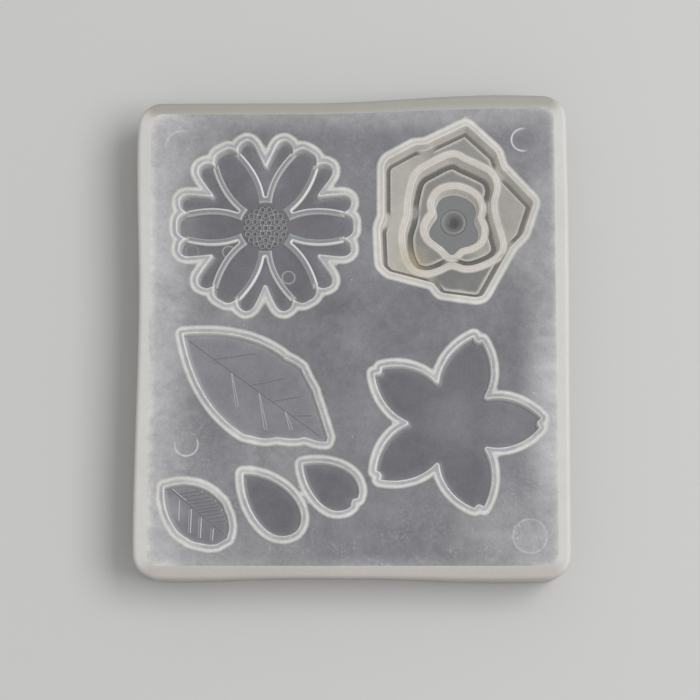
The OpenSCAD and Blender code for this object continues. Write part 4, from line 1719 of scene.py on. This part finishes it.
@dataclass(frozen=True)
class Vein:
    """A straight vein.

    Attributes:
        start: Its end at the midrib.
        end: Its other end.
        kind: How it reads.
    """

    start: Pair
    end: Pair
    kind: VeinKind

    def lines(self, bead: float, gap: float) -> list[tuple[np.ndarray, float, float]]:
        """Lines to lay beads on.

        Args:
            bead: Radius of a full bead.
            gap: Half the width of a loop at its far end, or the distance between two lines.

        Returns:
            For each line its points, radius and paleness.
        """
        a, b = np.array(self.start), np.array(self.end)
        t = np.linspace(0.0, 1.0, 9)[:, None]
        side = np.array([-(b - a)[1], (b - a)[0]]) / np.hypot(*(b - a))
        line = a + (b - a) * t
        if self.kind is VeinKind.LOOP:
            open_by = side * gap * (0.25 + 0.75 * t)
            return [(np.vstack([line + open_by, (line - open_by)[::-1]]), 0.62 * bead, 0.72)]
        if self.kind is VeinKind.PALE:
            return [(line, 0.85 * bead, 0.85)]
        if self.kind is VeinKind.DOUBLE:
            return [(line, 0.9 * bead, 0.95), (line - side * gap, 0.6 * bead, 0.55)]
        return [(line, 0.75 * bead, 0.1), (line + side * 1.4 * bead, 0.5 * bead, 0.34)]


@dataclass
class LeafVeins:
    """Veins on a leaf's floor.

    Attributes:
        node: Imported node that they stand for.
        veins: The veins.
        bead: Radius of a full bead.
        gap: Half the width of a loop at its far end, or the distance between two lines.
    """

    node: str
    veins: list[Vein]
    bead: float = 0.14
    gap: float = 0.36

    def build(self, tree: GrowTree) -> None:
        """Lays the beads.

        Args:
            tree: The bead tree.
        """
        lines = [line for vein in self.veins for line in vein.lines(self.bead, self.gap)]
        starts = np.cumsum([0] + [len(points) for points, _, _ in lines])
        edges = [(k, k + 1) for k in range(starts[-1] - 1) if k + 1 not in starts]
        plan = np.vstack([points for points, _, _ in lines])
        verts = np.column_stack([plan, np.full(len(plan), TOP_Z - SHALLOW_DEPTH)]) * MM
        mesh = bpy.data.meshes.new(self.node + "_lines")
        mesh.from_pydata(verts.tolist(), edges, [])
        for key, values in (("bead_m", [r * MM for _, r, _ in lines]), ("pale", [v for _, _, v in lines])):
            each = np.repeat(values, np.diff(starts)).astype(np.float32)
            mesh.attributes.new(key, "FLOAT", "POINT").data.foreach_set("value", each)
        finish = VeinFinish(self.node + "_silicone", cloud=CALM).build()
        seed = link_new(self.node + "_lines", mesh)
        piece = tree.grow(self.node + "_dressed", seed, {"Sides": 10, "Finish": finish})
        piece.data.shade_smooth()
        hand_over(piece, self.node)


def large_leaf_veins() -> list[Vein]:
    """Places the midrib and the side veins of the large leaf.

    Returns:
        The veins: dark above the midrib, open loops below it.
    """
    dark = (((-41.0, -0.4), (-8.4, -24.4)), ((-34.7, -5.0), (-24.3, -3.6)), ((-26.0, -11.8), (-16.7, -9.8)),
            ((-20.3, -15.8), (-13.0, -14.5)), ((-15.3, -19.4), (-10.3, -19.4)))
    loops = (((-30.3, -8.6), (-28.9, -16.9)), ((-23.4, -13.6), (-21.7, -22.8)),
             ((-16.8, -18.4), (-15.4, -22.8)))
    return [Vein(a, b, VeinKind.DARK) for a, b in dark] + [Vein(a, b, VeinKind.LOOP) for a, b in loops]


def small_leaf_veins() -> list[Vein]:
    """Places the midrib and the side veins of the small leaf.

    Returns:
        The veins: pale lines below the midrib, fine hatching above it.
    """
    foot, tip = np.array([-45.3, -37.9]), np.array([-32.0, -49.1])
    veins = [Vein(tuple(foot), tuple(tip), VeinKind.DARK),
             Vein((-45.1, -37.7), (-41.3, -40.9), VeinKind.PALE),
             Vein((-43.1, -40.7), (-43.2, -45.9), VeinKind.PALE)]
    for start, end in (((-40.1, -43.0), (-40.3, -48.9)), ((-37.6, -45.1), (-37.8, -50.2)),
                       ((-34.6, -47.8), (-34.8, -50.8))):
        veins.append(Vein(start, end, VeinKind.DOUBLE))
    for share, run in ((0.12, 6.0), (0.19, 6.0), (0.27, 6.2), (0.34, 6.5), (0.41, 6.0), (0.47, 5.7),
                       (0.53, 5.6), (0.6, 4.8), (0.68, 4.2), (0.76, 3.8)):
        a = foot + (tip - foot) * share
        veins.append(Vein(tuple(a), (a[0] + run, a[1] + 0.16 * run), VeinKind.DARK))
    for x, y in ((-37.7, -38.3), (-34.3, -40.7), (-32.7, -43.0), (-31.4, -45.8)):
        veins.append(Vein((x, y), (x + 0.35, y - 0.3), VeinKind.PALE))
    return veins


@dataclass
class Studio:
    """Floor, soft light and camera.

    Attributes:
        lens_mm: Focal length on a 36 mm sensor.
        aim: Point that the camera looks at, in millimetres.
        tilt: Angle from straight down, in degrees.
        away: Distance from the aim, in millimetres.
        room: Strength of the even light of the room.
        lamp: Strength of the soft lamp.
        lamp_at: Place of the lamp, in metres. It points at the mould.
        lamp_size: Its two lengths, in metres.
        floor_half: Half the length of the floor, in metres.
    """

    lens_mm: float = 174.857
    aim: tuple[float, float, float] = (-0.65, -3.2, 15.0)
    tilt: float = 11.0
    away: float = 850.0
    room: float = 0.52
    lamp: float = 11.8
    lamp_at: tuple[float, float, float] = (0.8, 0.08, 1.2)
    lamp_size: Pair = (1.1, 0.8)
    floor_half: float = 3.0

    def build(self) -> None:
        """Sets up the camera, the floor, the room and the lamp."""
        scene = bpy.context.scene
        scene.view_settings.view_transform = "Standard"
        angle = math.radians(self.tilt)
        data = bpy.data.cameras.new("camera")
        data.sensor_width, data.lens = 36.0, self.lens_mm
        camera = link_new("camera", data)
        back = Vector((0.0, -math.sin(angle), math.cos(angle)))
        camera.location = (Vector(self.aim) + self.away * back) * MM
        camera.rotation_euler = (angle, 0.0, 0.0)
        scene.camera = camera
        self.floor()
        self.light()

    def floor(self) -> None:
        """Lays a plain pale floor."""
        mesh = bpy.data.meshes.new("floor")
        half = self.floor_half
        corners = [(-half, -half, 0), (half, -half, 0), (half, half, 0), (-half, half, 0)]
        mesh.from_pydata(corners, [], [(0, 1, 2, 3)])
        material = bpy.data.materials.new("floor_paper")
        material.use_nodes = True
        skin = material.node_tree.nodes["Principled BSDF"]
        skin.inputs["Base Color"].default_value = tone(206, 206, 205)
        skin.inputs["Roughness"].default_value = 0.9
        mesh.materials.append(material)
        link_new("floor", mesh)

    def light(self) -> None:
        """Hangs one wide soft lamp in an even pale room."""
        world = bpy.data.worlds.new("room")
        world.use_nodes = True
        light = world.node_tree.nodes["Background"].inputs
        light["Color"].default_value = (1.0, 1.0, 1.0, 1.0)
        light["Strength"].default_value = self.room
        bpy.context.scene.world = world
        lamp = bpy.data.lights.new("soft_lamp", "AREA")
        lamp.shape = "RECTANGLE"
        lamp.size, lamp.size_y = self.lamp_size
        lamp.energy = self.lamp
        hung = link_new("soft_lamp", lamp)
        hung.location = self.lamp_at
        hung.rotation_euler = (-hung.location).to_track_quat("-Z", "Y").to_euler()


def main() -> None:
    """Builds the mould piece by piece, then the studio."""
    logging.basicConfig(level=logging.INFO, format="%(message)s")
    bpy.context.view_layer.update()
    bow = Bow()
    floors = {"blossom_cup": (106, 105, 111), "large_leaf_cup": (132, 131, 137),
              "small_leaf_cup": (121, 120, 126), "petal_cup": (108, 107, 112),
              "notched_petal_cup": (109, 108, 114)}
    # Painted highlights, or painted shade below 0, on the cup floors: middle, radius and strength
    shine = {"blossom_cup": ((26, -21, 8, 0.38), (40, -21, 7, 0.32), (31, -38, 7, -0.1), (31, -6, 6, 0.05)),
             "large_leaf_cup": ((-33, -12, 6, -0.15), (-20, -25, 6, -0.25)),
             "small_leaf_cup": ((-45, -43, 4, 0.6), (-35, -41, 4, 0.1))}
    mouths = {node: Outline(plan_curves(node)[1]) for node in ("daisy_cup", "rose_outer_cup", *floors)}
    Rim(bow).build()
    Sheet(bow, MouldPlan(mouths, Outline(plan_curves("top_sheet")[0]))).build()
    daisy = Daisy(mouths["daisy_cup"])
    daisy.build()
    finish = CupFinish("daisy_silicone", gloss=GLOSSY)
    rings = (-16.2, 16.0, 1.6, 0.6), (-31.3, 22.6, 1.5, 0.6), (-40.6, 22.7, 1.6, 0.16)
    # Painted highlights on the daisy's floor
    lit = (-43, 29, 6, 0.35), (-22, 41, 4, 0.35), (-22, 17, 4, 0.1)
    Cup("daisy_cup", finish, daisy.depth, tip_lean=0.15, tip_from=18.8, foot=0.2, hole=daisy.seed_r,
        rings=rings, shine=lit).build(mouths["daisy_cup"])
    Rose().build()
    for node, floor in floors.items():
        finish = CupFinish(node.replace("cup", "silicone"), gloss=GLOSSY, floor=floor)
        mouth = mouths[node].blunted(0.5) if node == "blossom_cup" else mouths[node]
        Cup(node, finish, shine=shine.get(node, ())).build(mouth)
    beads = bead_tree()
    LeafVeins("large_leaf_veins", large_leaf_veins()).build(beads)
    LeafVeins("small_leaf_veins", small_leaf_veins(), gap=0.55).build(beads)
    Studio().build()
    bpy.context.view_layer.update()


if __name__ == "__main__":
    main()
